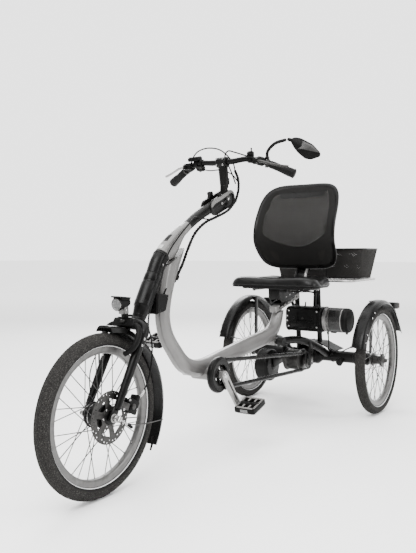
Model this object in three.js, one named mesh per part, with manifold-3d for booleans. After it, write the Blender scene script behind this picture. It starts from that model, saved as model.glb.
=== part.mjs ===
// Adult tricycle for riding in a low step-through position: one raked front wheel, two rear wheels,
// a swivelling handlebar column, a chair-like seat, a battery behind the seat and a basket over the axle.
// Units are millimetres, +Z is up, the rider faces -Y and the rider's left hand is on +X.
import * as THREE from 'three';
import { mergeVertices } from 'three/addons/utils/BufferGeometryUtils.js';
import Module from 'manifold-3d';

const wasm = await Module();
wasm.setup();

// ---------------------------------------------------------------- driving dimensions

const WHEELBASE = 1500;
const HALF_TRACK = 340;
const FRONT_RADIUS = 252.5;
const REAR_RADIUS = 250;
const WHEEL_FACETS = 28;
const GAP = 0.4;

const RAKE = THREE.MathUtils.degToRad(28.9);
const HEAD_FOOT = { y: 182, z: 524 };
const AXLE_FLAT = Math.cos(Math.PI / WHEEL_FACETS);
const FRONT_HUB = { y: 0, z: FRONT_RADIUS * AXLE_FLAT };
const REAR_HUB = { y: WHEELBASE, z: REAR_RADIUS * AXLE_FLAT };
const CRANK = { y: 555, z: 297, length: 155, angle: THREE.MathUtils.degToRad(-52) };
const CHAINRING_RADIUS = 52;
const SPROCKET = { y: 1325, z: 245, radius: 36 };
const CHAIN_X = 71;
const RAIL_ANGLE = THREE.MathUtils.degToRad(13);
const STEM_PIVOT = { y: 700, z: 950 };
const BAR_RADIUS = 11.1;
const SEAT_TOP = 640;
const RACK = { front: 1416, rear: 1794, height: 613, halfWidth: 244, taper: 16, tube: 6 };
const REAR_END = RACK.rear + RACK.tube;
const FRONT_END = -FRONT_RADIUS * AXLE_FLAT;

// ---------------------------------------------------------------- materials

const finish = (color, roughness, metalness) =>
  new THREE.MeshStandardMaterial({ color, roughness, metalness });
const SILVER_PAINT = finish(0xb4b1a8, 0.4, 0.35);
const BLACK_PAINT = finish(0x1b1a19, 0.42, 0.3);
const BLACK_PLASTIC = finish(0x161616, 0.6, 0);
const TYRE_RUBBER = finish(0x2d2a28, 0.9, 0);
const GRIP_RUBBER = finish(0x111111, 0.8, 0);
const BRIGHT_METAL = finish(0xb9b9b7, 0.28, 0.95);
const DARK_STEEL = finish(0x4a4a49, 0.4, 0.9);
const CAN_GREY = finish(0x6d6c69, 0.35, 0.6);
const LENS = finish(0xe6e6e2, 0.1, 0);
const RED_LENS = finish(0x3a0d0c, 0.25, 0);
const SEAT_VINYL = finish(0x222120, 0.55, 0);
const MESH_FABRIC = finish(0x2f2d2b, 0.85, 0);

// ---------------------------------------------------------------- shape helpers

const at = (x, y, z) => new THREE.Vector3(x, y, z);

// Turns a closed geometry into a solid that can be joined and cut.
function solid(geometry) {
  const bare = geometry.clone();
  bare.deleteAttribute('normal');
  bare.deleteAttribute('uv');
  const merged = mergeVertices(bare, 1e-3);
  const place = merged.attributes.position.array;
  const source = merged.index.array;
  const triangles = [];
  let volume = 0;
  const corner = (i) => at(place[3 * i], place[3 * i + 1], place[3 * i + 2]);
  for (let i = 0; i < source.length; i += 3) {
    const [a, b, c] = [source[i], source[i + 1], source[i + 2]];
    if (a === b || b === c || c === a) {
      continue;
    }
    triangles.push([a, b, c]);
    volume += corner(a).dot(corner(b).cross(corner(c)));
  }
  const outward = volume > 0 ? triangles : triangles.map(([a, b, c]) => [a, c, b]);
  return new wasm.Manifold(new wasm.Mesh({
    numProp: 3,
    vertProperties: new Float32Array(place),
    triVerts: new Uint32Array(outward.flat()),
  }));
}

function geometryOf(body) {
  const mesh = body.getMesh();
  const geometry = new THREE.BufferGeometry();
  geometry.setAttribute('position', new THREE.BufferAttribute(mesh.vertProperties, 3));
  geometry.setIndex(new THREE.BufferAttribute(mesh.triVerts, 1));
  geometry.computeVertexNormals();
  return geometry;
}

const join = (...bodies) => bodies.reduce((whole, body) => whole.add(body));
const cut = (body, ...tools) => tools.reduce((rest, tool) => rest.subtract(tool), body);

// A round bar or cone between two points.
function rod(from, to, radius, endRadius = radius, sides = 12) {
  const along = to.clone().sub(from);
  const geometry = new THREE.CylinderGeometry(endRadius, radius, along.length(), sides);
  const turn = new THREE.Quaternion().setFromUnitVectors(at(0, 1, 0), along.clone().normalize());
  geometry.applyQuaternion(turn);
  geometry.translate(...from.clone().add(to).multiplyScalar(0.5).toArray());
  return solid(geometry);
}

// A round bar along X.
const crossRod = (x0, x1, y, z, radius, sides = 24) =>
  rod(at(x0, y, z), at(x1, y, z), radius, radius, sides);

function block(size, centre, tilt = 0) {
  const geometry = new THREE.BoxGeometry(...size);
  geometry.rotateX(tilt);
  geometry.translate(...centre);
  return solid(geometry);
}

// Straight bars from point to point, with a ball at each bend.
function bars(points, radius, sides = 8) {
  const pieces = [];
  for (let i = 1; i < points.length; i += 1) {
    pieces.push(rod(points[i - 1], points[i], radius, radius, sides));
    if (i < points.length - 1) {
      const ball = new THREE.SphereGeometry(radius, sides, 4);
      ball.translate(...points[i].toArray());
      pieces.push(solid(ball));
    }
  }
  return join(...pieces);
}

// A round tube or hose of one radius along a smooth curve, with an optional bore.
function tube(points, radius, { sides = 10, steps = 24, bore = 0 } = {}) {
  const curve = points instanceof THREE.Curve ? points : new THREE.CatmullRomCurve3(points);
  const section = new THREE.Shape();
  section.absarc(0, 0, radius, 0, Math.PI * 2);
  if (bore > 0) {
    const hole = new THREE.Path();
    hole.absarc(0, 0, bore, 0, Math.PI * 2, true);
    section.holes.push(hole);
  }
  return solid(new THREE.ExtrudeGeometry(section, {
    steps,
    extrudePath: curve,
    curveSegments: sides / 2,
    bevelEnabled: false,
  }));
}

// A shape drawn in the YZ plane and given a thickness along X.
function plate(outline, x0, x1) {
  const shape = new THREE.Shape(outline.map(([y, z]) => new THREE.Vector2(y, z)));
  const geometry = new THREE.ExtrudeGeometry(shape, { depth: x1 - x0, bevelEnabled: false });
  const turn = new THREE.Matrix4().makeBasis(at(0, 1, 0), at(0, 0, 1), at(1, 0, 0));
  geometry.applyMatrix4(turn);
  geometry.translate(x0, 0, 0);
  return solid(geometry);
}

// A capsule-shaped outline in the YZ plane round two centres.
function capsule(y0, z0, y1, z1, r0, r1, arcs = 8) {
  const heading = Math.atan2(z1 - z0, y1 - y0);
  const outline = [];
  for (let i = 0; i <= arcs; i += 1) {
    const turn = heading - Math.PI / 2 + (Math.PI * i) / arcs;
    outline.push([y1 + r1 * Math.cos(turn), z1 + r1 * Math.sin(turn)]);
  }
  for (let i = 0; i <= arcs; i += 1) {
    const turn = heading + Math.PI / 2 + (Math.PI * i) / arcs;
    outline.push([y0 + r0 * Math.cos(turn), z0 + r0 * Math.sin(turn)]);
  }
  return outline;
}

// A profile of [radius, distance along the axis] turned round the X axis.
function turned(profile, facets) {
  const closed = profile[0][0] > 0;
  const points = profile.map(([r, x]) => new THREE.Vector2(r, x));
  if (closed) {
    points.push(points[0].clone());
  }
  const geometry = new THREE.LatheGeometry(points, facets);
  geometry.rotateZ(-Math.PI / 2);
  geometry.rotateX(Math.PI / facets);
  return solid(geometry);
}

// Skins rings that have the same number of points and caps the ends, unless the row closes on itself.
function skin(rings, outline, loop = false) {
  const count = rings[0].length;
  const positions = rings.flat().flatMap((p) => p.toArray());
  const index = [];
  const rows = loop ? rings.length : rings.length - 1;
  for (let i = 0; i < rows; i += 1) {
    const here = i * count;
    const next = ((i + 1) % rings.length) * count;
    for (let j = 0; j < count; j += 1) {
      const k = (j + 1) % count;
      index.push(here + j, next + j, next + k);
      index.push(here + j, next + k, here + k);
    }
  }
  if (!loop) {
    const last = (rings.length - 1) * count;
    for (const [a, b, c] of THREE.ShapeUtils.triangulateShape(outline, [])) {
      index.push(a, b, c);
      index.push(last + a, last + c, last + b);
    }
  }
  const geometry = new THREE.BufferGeometry();
  geometry.setAttribute('position', new THREE.Float32BufferAttribute(positions, 3));
  geometry.setIndex(index);
  return solid(geometry);
}

// Sweeps a section along a curve in the YZ plane.
// section(t) gives [across X, outward] pairs, anticlockwise.
function sweep(curve, steps, section) {
  const rings = [];
  for (let i = 0; i <= steps; i += 1) {
    const t = i / steps;
    const centre = curve.getPoint(t);
    const along = curve.getTangent(t);
    const left = at(0, -along.z, along.y).normalize();
    rings.push(section(t).map(([x, out]) => centre.clone().addScaledVector(left, out).add(at(x, 0, 0))));
  }
  return skin(rings, section(0).map(([x, out]) => new THREE.Vector2(x, out)));
}

const planar = (points) =>
  new THREE.CatmullRomCurve3(points.map(([y, z]) => at(0, y, z)), false, 'centripetal');

function oval(width, depth, sides = 12) {
  const outline = [];
  for (let i = 0; i < sides; i += 1) {
    const turn = (2 * Math.PI * (i + 0.5)) / sides;
    outline.push([(width / 2) * Math.cos(turn), (depth / 2) * Math.sin(turn)]);
  }
  return outline;
}

// An arc in the YZ plane round a centre, from one angle to another, in degrees from +Y towards +Z.
class Arc extends THREE.Curve {
  constructor(centre, radius, from, to, tail = 0) {
    super();
    Object.assign(this, { centre, radius, from, to, tail });
  }

  getPoint(t) {
    const sweepLength = THREE.MathUtils.degToRad(Math.abs(this.to - this.from)) * this.radius;
    const share = sweepLength / (sweepLength + this.tail);
    const turn = THREE.MathUtils.degToRad(THREE.MathUtils.lerp(this.from, this.to,
      Math.min(t / share, 1)));
    const along = t > share ? ((t - share) / (1 - share)) * this.tail : 0;
    return at(
      0,
      this.centre.y + this.radius * Math.cos(turn) + along * Math.sin(turn),
      this.centre.z + this.radius * Math.sin(turn) - along * Math.cos(turn),
    );
  }
}

// ---------------------------------------------------------------- the assembly

const tricycle = new THREE.Group();
const whole = new THREE.Group();
whole.position.set(0, -(REAR_END + FRONT_END) / 2, 0);
tricycle.add(whole);

// Parts that are drawn square to the steering axis: local Z runs up the axis, local Y points back.
const column = new THREE.Group();
column.position.set(0, HEAD_FOOT.y, HEAD_FOOT.z);
column.rotation.x = -RAKE;
whole.add(column);

function part(name, body, material, parent = whole, place = [0, 0, 0]) {
  const mesh = new THREE.Mesh(geometryOf(body), material);
  mesh.name = name;
  mesh.position.set(...place);
  parent.add(mesh);
}

function inColumn(y, z) {
  const dy = y - HEAD_FOOT.y;
  const dz = z - HEAD_FOOT.z;
  return {
    back: dy * Math.cos(RAKE) - dz * Math.sin(RAKE),
    up: dy * Math.sin(RAKE) + dz * Math.cos(RAKE),
  };
}

const HUB_IN_COLUMN = inColumn(FRONT_HUB.y, FRONT_HUB.z);

// ---------------------------------------------------------------- wheels

function tyre(radius) {
  const bead = 203;
  const outer = [[bead, 9.2], [210.4, 9.2], [216, 20.5], [233, 23], [radius, 8]];
  const mirrored = [...outer].reverse().map(([r, x]) => [r, -x]);
  return turned([...outer, ...mirrored, [bead, -6.4], [radius - 9, -10], [radius - 9, 10], [bead, 6.4]],
    WHEEL_FACETS);
}

function rim() {
  return turned([
    [188, 8], [209, 12], [209, 10.4], [200.5, 9.8], [200.5, -9.8], [209, -10.4], [209, -12], [188, -8],
  ], WHEEL_FACETS);
}

// Spokes from two hub flanges to the rim; those that cross run on opposite sides of their flange.
function spokes(flangeRadius, flangeX) {
  const count = 16;
  const cross = THREE.MathUtils.degToRad(55);
  const pieces = [];
  for (let i = 0; i < count; i += 1) {
    const side = i % 2 === 0 ? 1 : -1;
    const lean = Math.floor(i / 2) % 2 === 0 ? cross : -cross;
    const turn = (2 * Math.PI * (i + 0.5)) / count;
    const flange = side * (flangeX + (lean > 0 ? 2.6 : -2.6));
    const hubEnd = at(flange, flangeRadius * Math.cos(turn + lean), flangeRadius * Math.sin(turn + lean));
    const rimEnd = at(side * 2, 190 * Math.cos(turn), 190 * Math.sin(turn));
    pieces.push(rod(hubEnd, rimEnd, 1.5, 1.5, 3));
  }
  return join(...pieces);
}

function frontWheel() {
  const shell = turned([
    [0, -46], [13, -46], [13, -30], [39, -28], [39, -22], [35, -18],
    [35, 18], [39, 22], [39, 28], [21.5, 31], [21.5, 44.5], [0, 44.5],
  ], 20);
  const bore = crossRod(-60, 60, 0, 0, 5.4, 12);
  return cut(join(rim(), spokes(36.5, 25), shell), bore);
}

part('front_tyre', tyre(FRONT_RADIUS), TYRE_RUBBER, whole, [0, FRONT_HUB.y, FRONT_HUB.z]);
part('front_wheel', frontWheel(), BRIGHT_METAL, whole, [0, FRONT_HUB.y, FRONT_HUB.z]);

function brakeRotor() {
  const disc = turned([[22.2, -0.9], [80, -0.9], [80, 0.9], [22.2, 0.9]], 20);
  const windows = [];
  for (let i = 0; i < 6; i += 1) {
    const turn = (Math.PI * i) / 3;
    windows.push(crossRod(-3, 3, 46 * Math.cos(turn), 46 * Math.sin(turn), 16, 6));
  }
  return cut(disc, ...windows);
}

const ROTOR_X = 41;
part('front_brake_rotor', brakeRotor(), DARK_STEEL, whole, [ROTOR_X, FRONT_HUB.y, FRONT_HUB.z]);

// A rear wheel with its driven half shaft, which runs inboard from the hub; side is +1 on the rider's left.
const SHAFT_INNER_END = 8;
function rearWheel(side) {
  const hub = turned([
    [0, -28], [15, -27], [31, -24], [31, -19], [20, -15],
    [20, 15], [31, 19], [31, 24], [15, 27], [9, 36], [8, 45], [0, 45],
  ], 16);
  const shaft = crossRod(-(HALF_TRACK - SHAFT_INNER_END), -20, 0, 0, 11, 12);
  const body = join(rim(), spokes(28.5, 21.5), hub, shaft);
  return side > 0 ? body : mirrorX(body);
}

function mirrorX(body) {
  const geometry = geometryOf(body);
  geometry.applyMatrix4(new THREE.Matrix4().makeScale(-1, 1, 1));
  return solid(geometry);
}

for (const [label, side] of [['left', 1], ['right', -1]]) {
  const place = [side * HALF_TRACK, REAR_HUB.y, REAR_HUB.z];
  part(`rear_tyre_${label}`, tyre(REAR_RADIUS), TYRE_RUBBER, whole, place);
  part(`rear_wheel_${label}`, rearWheel(side), BRIGHT_METAL, whole, place);
}

// ---------------------------------------------------------------- fork and what it carries

const BLADE_X = 58;
function fork() {
  const crown = block([144, 46, 26], [0, -12, -20]);
  const race = rod(at(0, 0, -8), at(0, 0, 5.5), 24, 22, 20);
  const steerer = rod(at(0, 0, 0), at(0, 0, 205), 13.5, 13.5, 16);
  const halves = [1, -1].map((side) => {
    const blade = rod(at(side * BLADE_X, -22, -22), at(side * BLADE_X, -26, -298), 15, 11, 12);
    const tip = block([8, 26, 44], [side * 54, HUB_IN_COLUMN.back, HUB_IN_COLUMN.up + 12]);
    return join(blade, tip);
  });
  const axleHole = crossRod(-80, 80, HUB_IN_COLUMN.back, HUB_IN_COLUMN.up, 5.4, 12);
  return cut(join(crown, race, steerer, ...halves), axleHole);
}
part('fork', fork(), BLACK_PAINT, column);

function frontAxle() {
  const spindle = crossRod(-74, 76, FRONT_HUB.y, FRONT_HUB.z, 4.8, 12);
  const nut = crossRod(-71, -58.5, FRONT_HUB.y, FRONT_HUB.z, 9.5, 6);
  const collar = crossRod(70.5, 73.5, FRONT_HUB.y, FRONT_HUB.z, 9.5, 16);
  return join(spindle, nut, collar);
}
part('front_axle', frontAxle(), BRIGHT_METAL);

function quickReleaseLever() {
  const y = FRONT_HUB.y;
  const z = FRONT_HUB.z;
  const cam = rod(at(81, y - 5, z - 7), at(81, y + 5, z + 7), 4.4, 4.4, 10);
  const arm = rod(at(81, y, z), at(88, y + 43, z - 31), 4, 5.5, 8);
  return join(cam, arm);
}
part('quick_release_lever', quickReleaseLever(), BRIGHT_METAL);

// A channel section for mudguards: flat top, lips turned down, anticlockwise.
function channel(halfWidth, lip, thickness) {
  return [
    [-halfWidth, -lip], [-halfWidth + thickness, -lip], [-halfWidth + 7, -thickness],
    [halfWidth - 7, -thickness],
    [halfWidth - thickness, -lip], [halfWidth, -lip], [halfWidth - 6, 0], [-halfWidth + 6, 0],
  ];
}

const FRONT_GUARD = { y: 14, z: 246, radius: 276 };
function frontMudguard() {
  const arc = new Arc(FRONT_GUARD, FRONT_GUARD.radius, 88, -24, 34);
  const guard = sweep(arc, 20, () => channel(34, 20, 2.4));
  const tab = rod(at(0, 128, 494), at(0, 133, 502), 10, 10, 8);
  const stays = [1, -1].map((side) => {
    const foot = at(side * 74.5, 26, 236);
    const stay = bars([foot, at(side * 60, 130, 206), at(side * 33, 269, 187)], 2.4, 5);
    const eye = crossRod(side * 73, side * 76, 24, 236.5, 6, 8);
    return join(stay, eye);
  });
  return join(guard, tab, ...stays);
}
part('front_mudguard', frontMudguard(), BLACK_PLASTIC);

// Horseshoe lock across the front of the crown, its arms either side of the tyre.
function wheelLock() {
  const back = -53;
  const body = block([84, 20, 26], [0, back, -33]);
  const arms = [1, -1].map((side) => tube([
    at(side * 34, back, -36), at(side * 62, back, -50), at(side * 71, back, -82),
    at(side * 62, back, -116), at(side * 36, back, -137),
  ], 9, { sides: 8, steps: 7 }));
  return join(body, ...arms);
}
part('wheel_lock', wheelLock(), BLACK_PLASTIC, column);

function headlight() {
  const shell = cut(
    rod(at(0, 132, 587), at(0, 78, 581), 15, 20, 16),
    rod(at(0, 90, 582.5), at(0, 70, 580.2), 16.5, 16.5, 16),
  );
  const hood = block([40, 46, 4], [0, 100, 603], -0.11);
  const stem = bars([at(0, 104, 578), at(0, 116, 552), at(0, 152, 542.5)], 5, 8);
  return join(shell, hood, stem);
}
part('headlight', headlight(), BLACK_PLASTIC);
part('headlight_lens', rod(at(0, 88, 582.3), at(0, 76, 580.9), 16, 16, 16), LENS);

function brakeCaliper() {
  const body = block([30, 52, 46], [42, 92, 268], -0.5);
  const slot = crossRod(ROTOR_X - 2.2, ROTOR_X + 2.2, FRONT_HUB.y, FRONT_HUB.z, 83, 40);
  const mount = block([7, 44, 24], [54, 57, 276], -0.4);
  return join(cut(body, slot), mount);
}
part('front_brake_caliper', brakeCaliper(), BLACK_PLASTIC);

// ---------------------------------------------------------------- head tube, stem and handlebar post

const HEAD_LENGTH = 166;
function headTube() {
  const outline = [[14.6, 6], [22, 6], [27, 44], [30, 47], [30, 60], [29, 130], [27.4, 134],
    [27.4, 138], [26, HEAD_LENGTH], [14.6, HEAD_LENGTH]];
  const points = outline.map(([r, z]) => new THREE.Vector2(r, z));
  points.push(points[0].clone());
  const geometry = new THREE.LatheGeometry(points, 16);
  geometry.rotateX(Math.PI / 2);
  return solid(geometry);
}
part('head_tube', headTube(), BLACK_PAINT, column);

function stemSleeve() {
  const curve = planar([[263, 671], [275, 693], [288, 713], [307, 733]]);
  const body = sweep(curve, 6, (t) => oval(51 + 4 * t, 51 + 4 * t, 16));
  const bore = rod(columnPoint(150), columnPoint(207), 14.2, 14.2, 16);
  return cut(body, bore);
}

function columnPoint(up) {
  return at(0, HEAD_FOOT.y + up * Math.sin(RAKE), HEAD_FOOT.z + up * Math.cos(RAKE));
}
part('stem_sleeve', stemSleeve(), BLACK_PAINT);

function stemElbow() {
  const curve = planar([[307.6, 733.6], [340, 763], [390, 800], [454, 838]]);
  const joint = rod(at(0, 288, 713), at(0, 307.5, 733.5), 32, 32, 16);
  return cut(sweep(curve, 8, (t) => oval(54 - 16 * t, 54 - 16 * t, 16)), joint);
}
part('stem_elbow', stemElbow(), SILVER_PAINT);

const CHEEK = { inner: 14.6, outer: 24 };
function stemArm() {
  const curve = planar([[454.6, 838.4], [520, 874], [590, 906], [650, 930]]);
  const arm = sweep(curve, 5, (t) => oval(37 + 9 * t, 37 + 3 * t, 12));
  const outline = capsule(606, 912, 716, 956, 30, 31);
  const cheeks = [1, -1].map((side) => {
    const inner = side * CHEEK.inner;
    const outer = side * CHEEK.outer;
    return plate(outline, Math.min(inner, outer), Math.max(inner, outer));
  });
  const pin = crossRod(-CHEEK.outer, CHEEK.outer, STEM_PIVOT.y, STEM_PIVOT.z, 6, 12);
  const knob = crossRod(-32, -CHEEK.outer + 1, 640, 968, 7, 10);
  const lug = plate(capsule(630, 940, 640, 968, 12, 9), -26, -CHEEK.inner - 1);
  return join(arm, ...cheeks, pin, knob, lug);
}
part('stem_arm', stemArm(), BLACK_PAINT);

function handlebarPost() {
  const knuckle = crossRod(-14, 14, STEM_PIVOT.y, STEM_PIVOT.z, 20, 16);
  const neck = block([26, 24, 60], [0, 703, 976]);
  const post = sweep(planar([[706, 996], [702, 1030], [694, 1080]]), 3, (t) => oval(34 + 7 * t, 30, 12));
  const clamp = crossRod(-23, 23, 692, 1091, 20, 16);
  const pinHole = crossRod(-30, 30, STEM_PIVOT.y, STEM_PIVOT.z, 6.5, 12);
  const barHole = crossRod(-40, 40, 692, 1091, 12, 16);
  return cut(join(knuckle, neck, post, clamp), pinHole, barHole);
}
part('handlebar_post', handlebarPost(), BLACK_PAINT);

// Half of the swept-back handlebar, from the middle to the rider's left hand.
const BAR_POINTS = [
  [0, 692, 1091], [50, 692, 1092], [105, 695, 1096], [150, 703, 1088], [195, 719, 1072],
  [240, 735.5, 1051.5], [281, 750, 1033],
];
const mirroredBar = [...BAR_POINTS].slice(1).reverse().map(([x, y, z]) => at(-x, y, z));
const barCurve = new THREE.CatmullRomCurve3([...mirroredBar, ...BAR_POINTS.map((p) => at(...p))], false,
  'centripetal');
part('handlebar', tube(barCurve, BAR_RADIUS, { sides: 10, steps: 24 }), BLACK_PAINT);

// The stretch of the bar between two distances from its middle, measured along X.
function barStretch(x0, x1, samples = 5) {
  const points = [];
  for (let i = 0; i < samples; i += 1) {
    points.push(barAt(THREE.MathUtils.lerp(x0, x1, i / (samples - 1))));
  }
  return new THREE.CatmullRomCurve3(points);
}

const barAt = (x) => pointWhere(barCurve, (p) => p.x < x);

// The point of a curve where a test stops being true.
function pointWhere(curve, before) {
  let low = 0;
  let high = 1;
  for (let i = 0; i < 30; i += 1) {
    const middle = (low + high) / 2;
    if (before(curve.getPoint(middle))) {
      low = middle;
    } else {
      high = middle;
    }
  }
  return curve.getPoint(low);
}

const BAR_BORE = BAR_RADIUS + 1.5;
for (const [label, side] of [['left', 1], ['right', -1]]) {
  const grip = tube(barStretch(side * 186, side * 279), 17, { sides: 12, steps: 5, bore: BAR_BORE });
  part(`grip_${label}`, grip, GRIP_RUBBER);

  const collar = tube(barStretch(side * 146, side * 174), 16.5, { sides: 12, steps: 2 });
  const middle = barAt(side * 163);
  const reservoir = block([34, 16, 20], [middle.x - side * 4, middle.y - 20.5, middle.z - 1]);
  const extras = [];
  if (side > 0) {
    const cup = barAt(122);
    extras.push(tube(barStretch(112, 150), 15, { sides: 10, steps: 2 }));
    extras.push(rod(at(cup.x, cup.y, cup.z + 10), at(cup.x, cup.y - 2, cup.z + 26), 13, 11, 10));
  } else {
    const pod = barAt(-130);
    extras.push(tube(barStretch(-112, -150), 15, { sides: 10, steps: 2 }));
    extras.push(block([46, 34, 16], [pod.x, pod.y - 4, pod.z + 21], 0.25));
  }
  const bore = tube(barStretch(side * 92, side * 190, 7), BAR_BORE, { sides: 8, steps: 6 });
  part(`hand_controls_${label}`, cut(join(collar, reservoir, ...extras), bore), BLACK_PLASTIC);

  const root = at(middle.x + side * 2, middle.y - 37.5, middle.z - 2);
  const finger = barAt(side * 270);
  const tip = at(finger.x + side * 8, finger.y - 45, finger.z + 18);
  const bend = at(side * 205, root.y + 2, root.z - 10);
  const blade = join(bars([root, bend, tip], 4.4, 8),
    rod(at(root.x, root.y, root.z - 7), at(root.x, root.y, root.z + 7), 5.4, 5.4, 10));
  part(`brake_lever_${label}`, blade, BRIGHT_METAL);
}

function shiftLever() {
  const pod = barAt(-110);
  const hub = rod(at(pod.x, pod.y + 2, pod.z - 17.5), at(pod.x, pod.y + 2, pod.z - 23), 9, 9, 12);
  const paddle = bars([at(pod.x, pod.y + 2, pod.z - 20), at(pod.x - 12, pod.y + 24, pod.z - 27)], 4, 8);
  return join(hub, paddle);
}
part('shift_lever', shiftLever(), BLACK_PLASTIC);

const MIRROR_CLAMP_X = 183.4;
const MIRROR_BALL = { x: 268, y: 722, z: 1158 };
function mirrorArm() {
  const ring = tube(barStretch(MIRROR_CLAMP_X - 1.6, MIRROR_CLAMP_X + 1.6, 3), 17.5,
    { sides: 12, steps: 2, bore: BAR_BORE });
  const seat = barAt(MIRROR_CLAMP_X);
  const arm = tube([
    at(seat.x, seat.y, seat.z + 14.5), at(seat.x + 2, seat.y - 2, seat.z + 42),
    at(214, 714, 1146), at(MIRROR_BALL.x - 11.5, MIRROR_BALL.y - 1, MIRROR_BALL.z - 0.5),
  ], 3.6, { sides: 8, steps: 10 });
  return join(ring, arm);
}
part('mirror_arm', mirrorArm(), BLACK_PAINT);

// The head's outline, as distances along it and above its middle.
const MIRROR_OUTLINE = [
  [-56, 20], [-40, -12], [-25, -31], [1, -53], [22, -57],
  [55, -47], [57, -34], [29, -2], [-14, 22], [-36, 27],
];
const MIRROR_DEPTH = { glass: -7, shell: 10 };
const MIRROR_TURN_DEGREES = 18.9;
function mirrorHead() {
  const ball = MIRROR_BALL;
  const upright = plate(MIRROR_OUTLINE, MIRROR_DEPTH.glass, MIRROR_DEPTH.shell);
  const facing = upright.rotate([0, 0, MIRROR_TURN_DEGREES - 90]);
  const face = moved(facing, ball.x + 56, ball.y + 18, ball.z - 20);
  const inner = at(ball.x - 7, ball.y - 1, ball.z);
  const socket = rod(inner, at(ball.x + 22, ball.y + 8, ball.z - 7), 6, 5, 10);
  return join(face, socket);
}
part('mirror_head', mirrorHead(), BLACK_PLASTIC);

// ---------------------------------------------------------------- main frame

// Stations along the main tube: back, height, width across and depth in the plane of the frame.
const FRAME_STATIONS = [
  [402, 778, 44, 62], [352, 700, 47, 76], [328, 640, 48, 72], [315, 580, 47, 60], [312, 520, 46, 52],
  [329, 462, 46, 52], [372, 405, 47, 54], [425, 352, 49, 58], [478, 328, 50, 60], [545, 320, 50, 62],
  [700, 338, 50, 63], [895, 363, 50, 63], [1035, 381, 50, 62], [1100, 400, 50, 62], [1138, 440, 48, 54],
  [1160, 492, 46, 46],
];

// A ridged eight-sided section, a little narrower towards the front and lower side.
function frameSection(width, depth, extra) {
  const w = width / 2 + extra;
  const d = depth / 2 + extra;
  return [
    [-0.45 * w, -d], [0.45 * w, -d], [0.92 * w, -0.55 * d], [w, 0.15 * d],
    [0.72 * w, 0.86 * d], [0.3 * w, d], [-0.3 * w, d], [-0.72 * w, 0.86 * d], [-w, 0.15 * d],
    [-0.92 * w, -0.55 * d],
  ];
}

function mainTube(extra) {
  const centre = planar(FRAME_STATIONS.map(([y, z]) => [y, z]));
  const size = new THREE.CatmullRomCurve3(FRAME_STATIONS.map(([, , w, d]) => at(w, d, 0)));
  return sweep(centre, 28, (t) => {
    const { x: width, y: depth } = size.getPoint(t);
    return frameSection(width, depth, extra);
  });
}

const REAR_PIVOT = { y: 1092, z: 357 };
const RAIL = { y: 1222, z: 519, length: 236, width: 32, height: 26, foot: 19.4 };

// Points on the sloping rail: along it and square to it.
function onRail(along, above, x = 0) {
  return [
    x,
    RAIL.y + along * Math.cos(RAIL_ANGLE) - above * Math.sin(RAIL_ANGLE),
    RAIL.z + along * Math.sin(RAIL_ANGLE) + above * Math.cos(RAIL_ANGLE),
  ];
}

function mainFrame() {
  const shellBottom = crossRod(-36, 36, CRANK.y, CRANK.z, 25, 16);
  const lug = crossRod(-25, 25, REAR_PIVOT.y, REAR_PIVOT.z, 19, 12);
  const bolt = crossRod(-46, 46, REAR_PIVOT.y, REAR_PIVOT.z, 7.6, 8);
  const heads = [1, -1].map((side) => crossRod(side > 0 ? 44.6 : -51, side > 0 ? 51 : -44.6,
    REAR_PIVOT.y, REAR_PIVOT.z, 12, 12));
  const crankBore = crossRod(-50, 50, CRANK.y, CRANK.z, 11, 16);
  const headBore = columnRod(-40, HEAD_LENGTH + 1, 30 + GAP + 0.4);
  const swing = columnRod(HEAD_LENGTH, 420, 37);
  const underElbow = plate([[300, 688], [470, 784], [470, 900], [250, 900], [250, 660]], -60, 60);
  const railClear = block([60, 420, 80], onRail(0, 40 - RAIL.foot), RAIL_ANGLE);
  const body = join(mainTube(0), shellBottom, lug, bolt, ...heads);
  return cut(body, crankBore, headBore, swing, underElbow, railClear);
}

function columnRod(low, high, radius) {
  return rod(columnPoint(low), columnPoint(high), radius, radius, 20);
}
part('main_frame', mainFrame(), SILVER_PAINT);

function junctionBox() {
  const outline = [[238, 616], [306, 604], [288, 546], [234, 536]];
  const headClear = columnRod(-40, HEAD_LENGTH, 30 + GAP + 0.4);
  return cut(plate(outline, -35, 35), headClear, mainTube(GAP + 0.3));
}
part('junction_box', junctionBox(), BLACK_PLASTIC);

// Wrapped cables from the handlebar post down into the main tube.
const CABLE_ROUTE = [
  [36, 724, 1062], [42, 738, 1030], [40, 741, 990], [38, 726, 945], [34, 680, 902], [28, 615, 872],
  [22, 540, 846], [16, 484, 806], [14, 446, 752], [12, 412, 700], [9, 384, 658], [6, 366, 632],
];
function cableBundle() {
  const hose = tube(CABLE_ROUTE.map((p) => at(...p)), 5, { sides: 6, steps: 34 });
  return cut(hose, mainTube(GAP));
}
part('cable_bundle', cableBundle(), BLACK_PLASTIC);

// Brake hose from the left lever, over the elbow and down to the caliper.
const HOSE_ROUTE = [
  [26, 470, 868], [27.5, 440, 851], [29.5, 392, 818], [31.5, 345, 782], [33, 308, 745], [36, 280, 705],
  [38, 262, 650], [39, 249, 592], [41, 236, 522], [46, 212, 426], [52, 176, 340], [52, 138, 296],
];
const HOSE = tube(HOSE_ROUTE.map((p) => at(...p)), 2.6, { sides: 6, steps: 30 });
part('front_brake_hose', HOSE, BLACK_PLASTIC);

// ---------------------------------------------------------------- cranks, pedals and chain

const crankSide = (side) => ({
  y: CRANK.y + side * CRANK.length * Math.cos(CRANK.angle),
  z: CRANK.z + side * CRANK.length * Math.sin(CRANK.angle),
});

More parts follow.
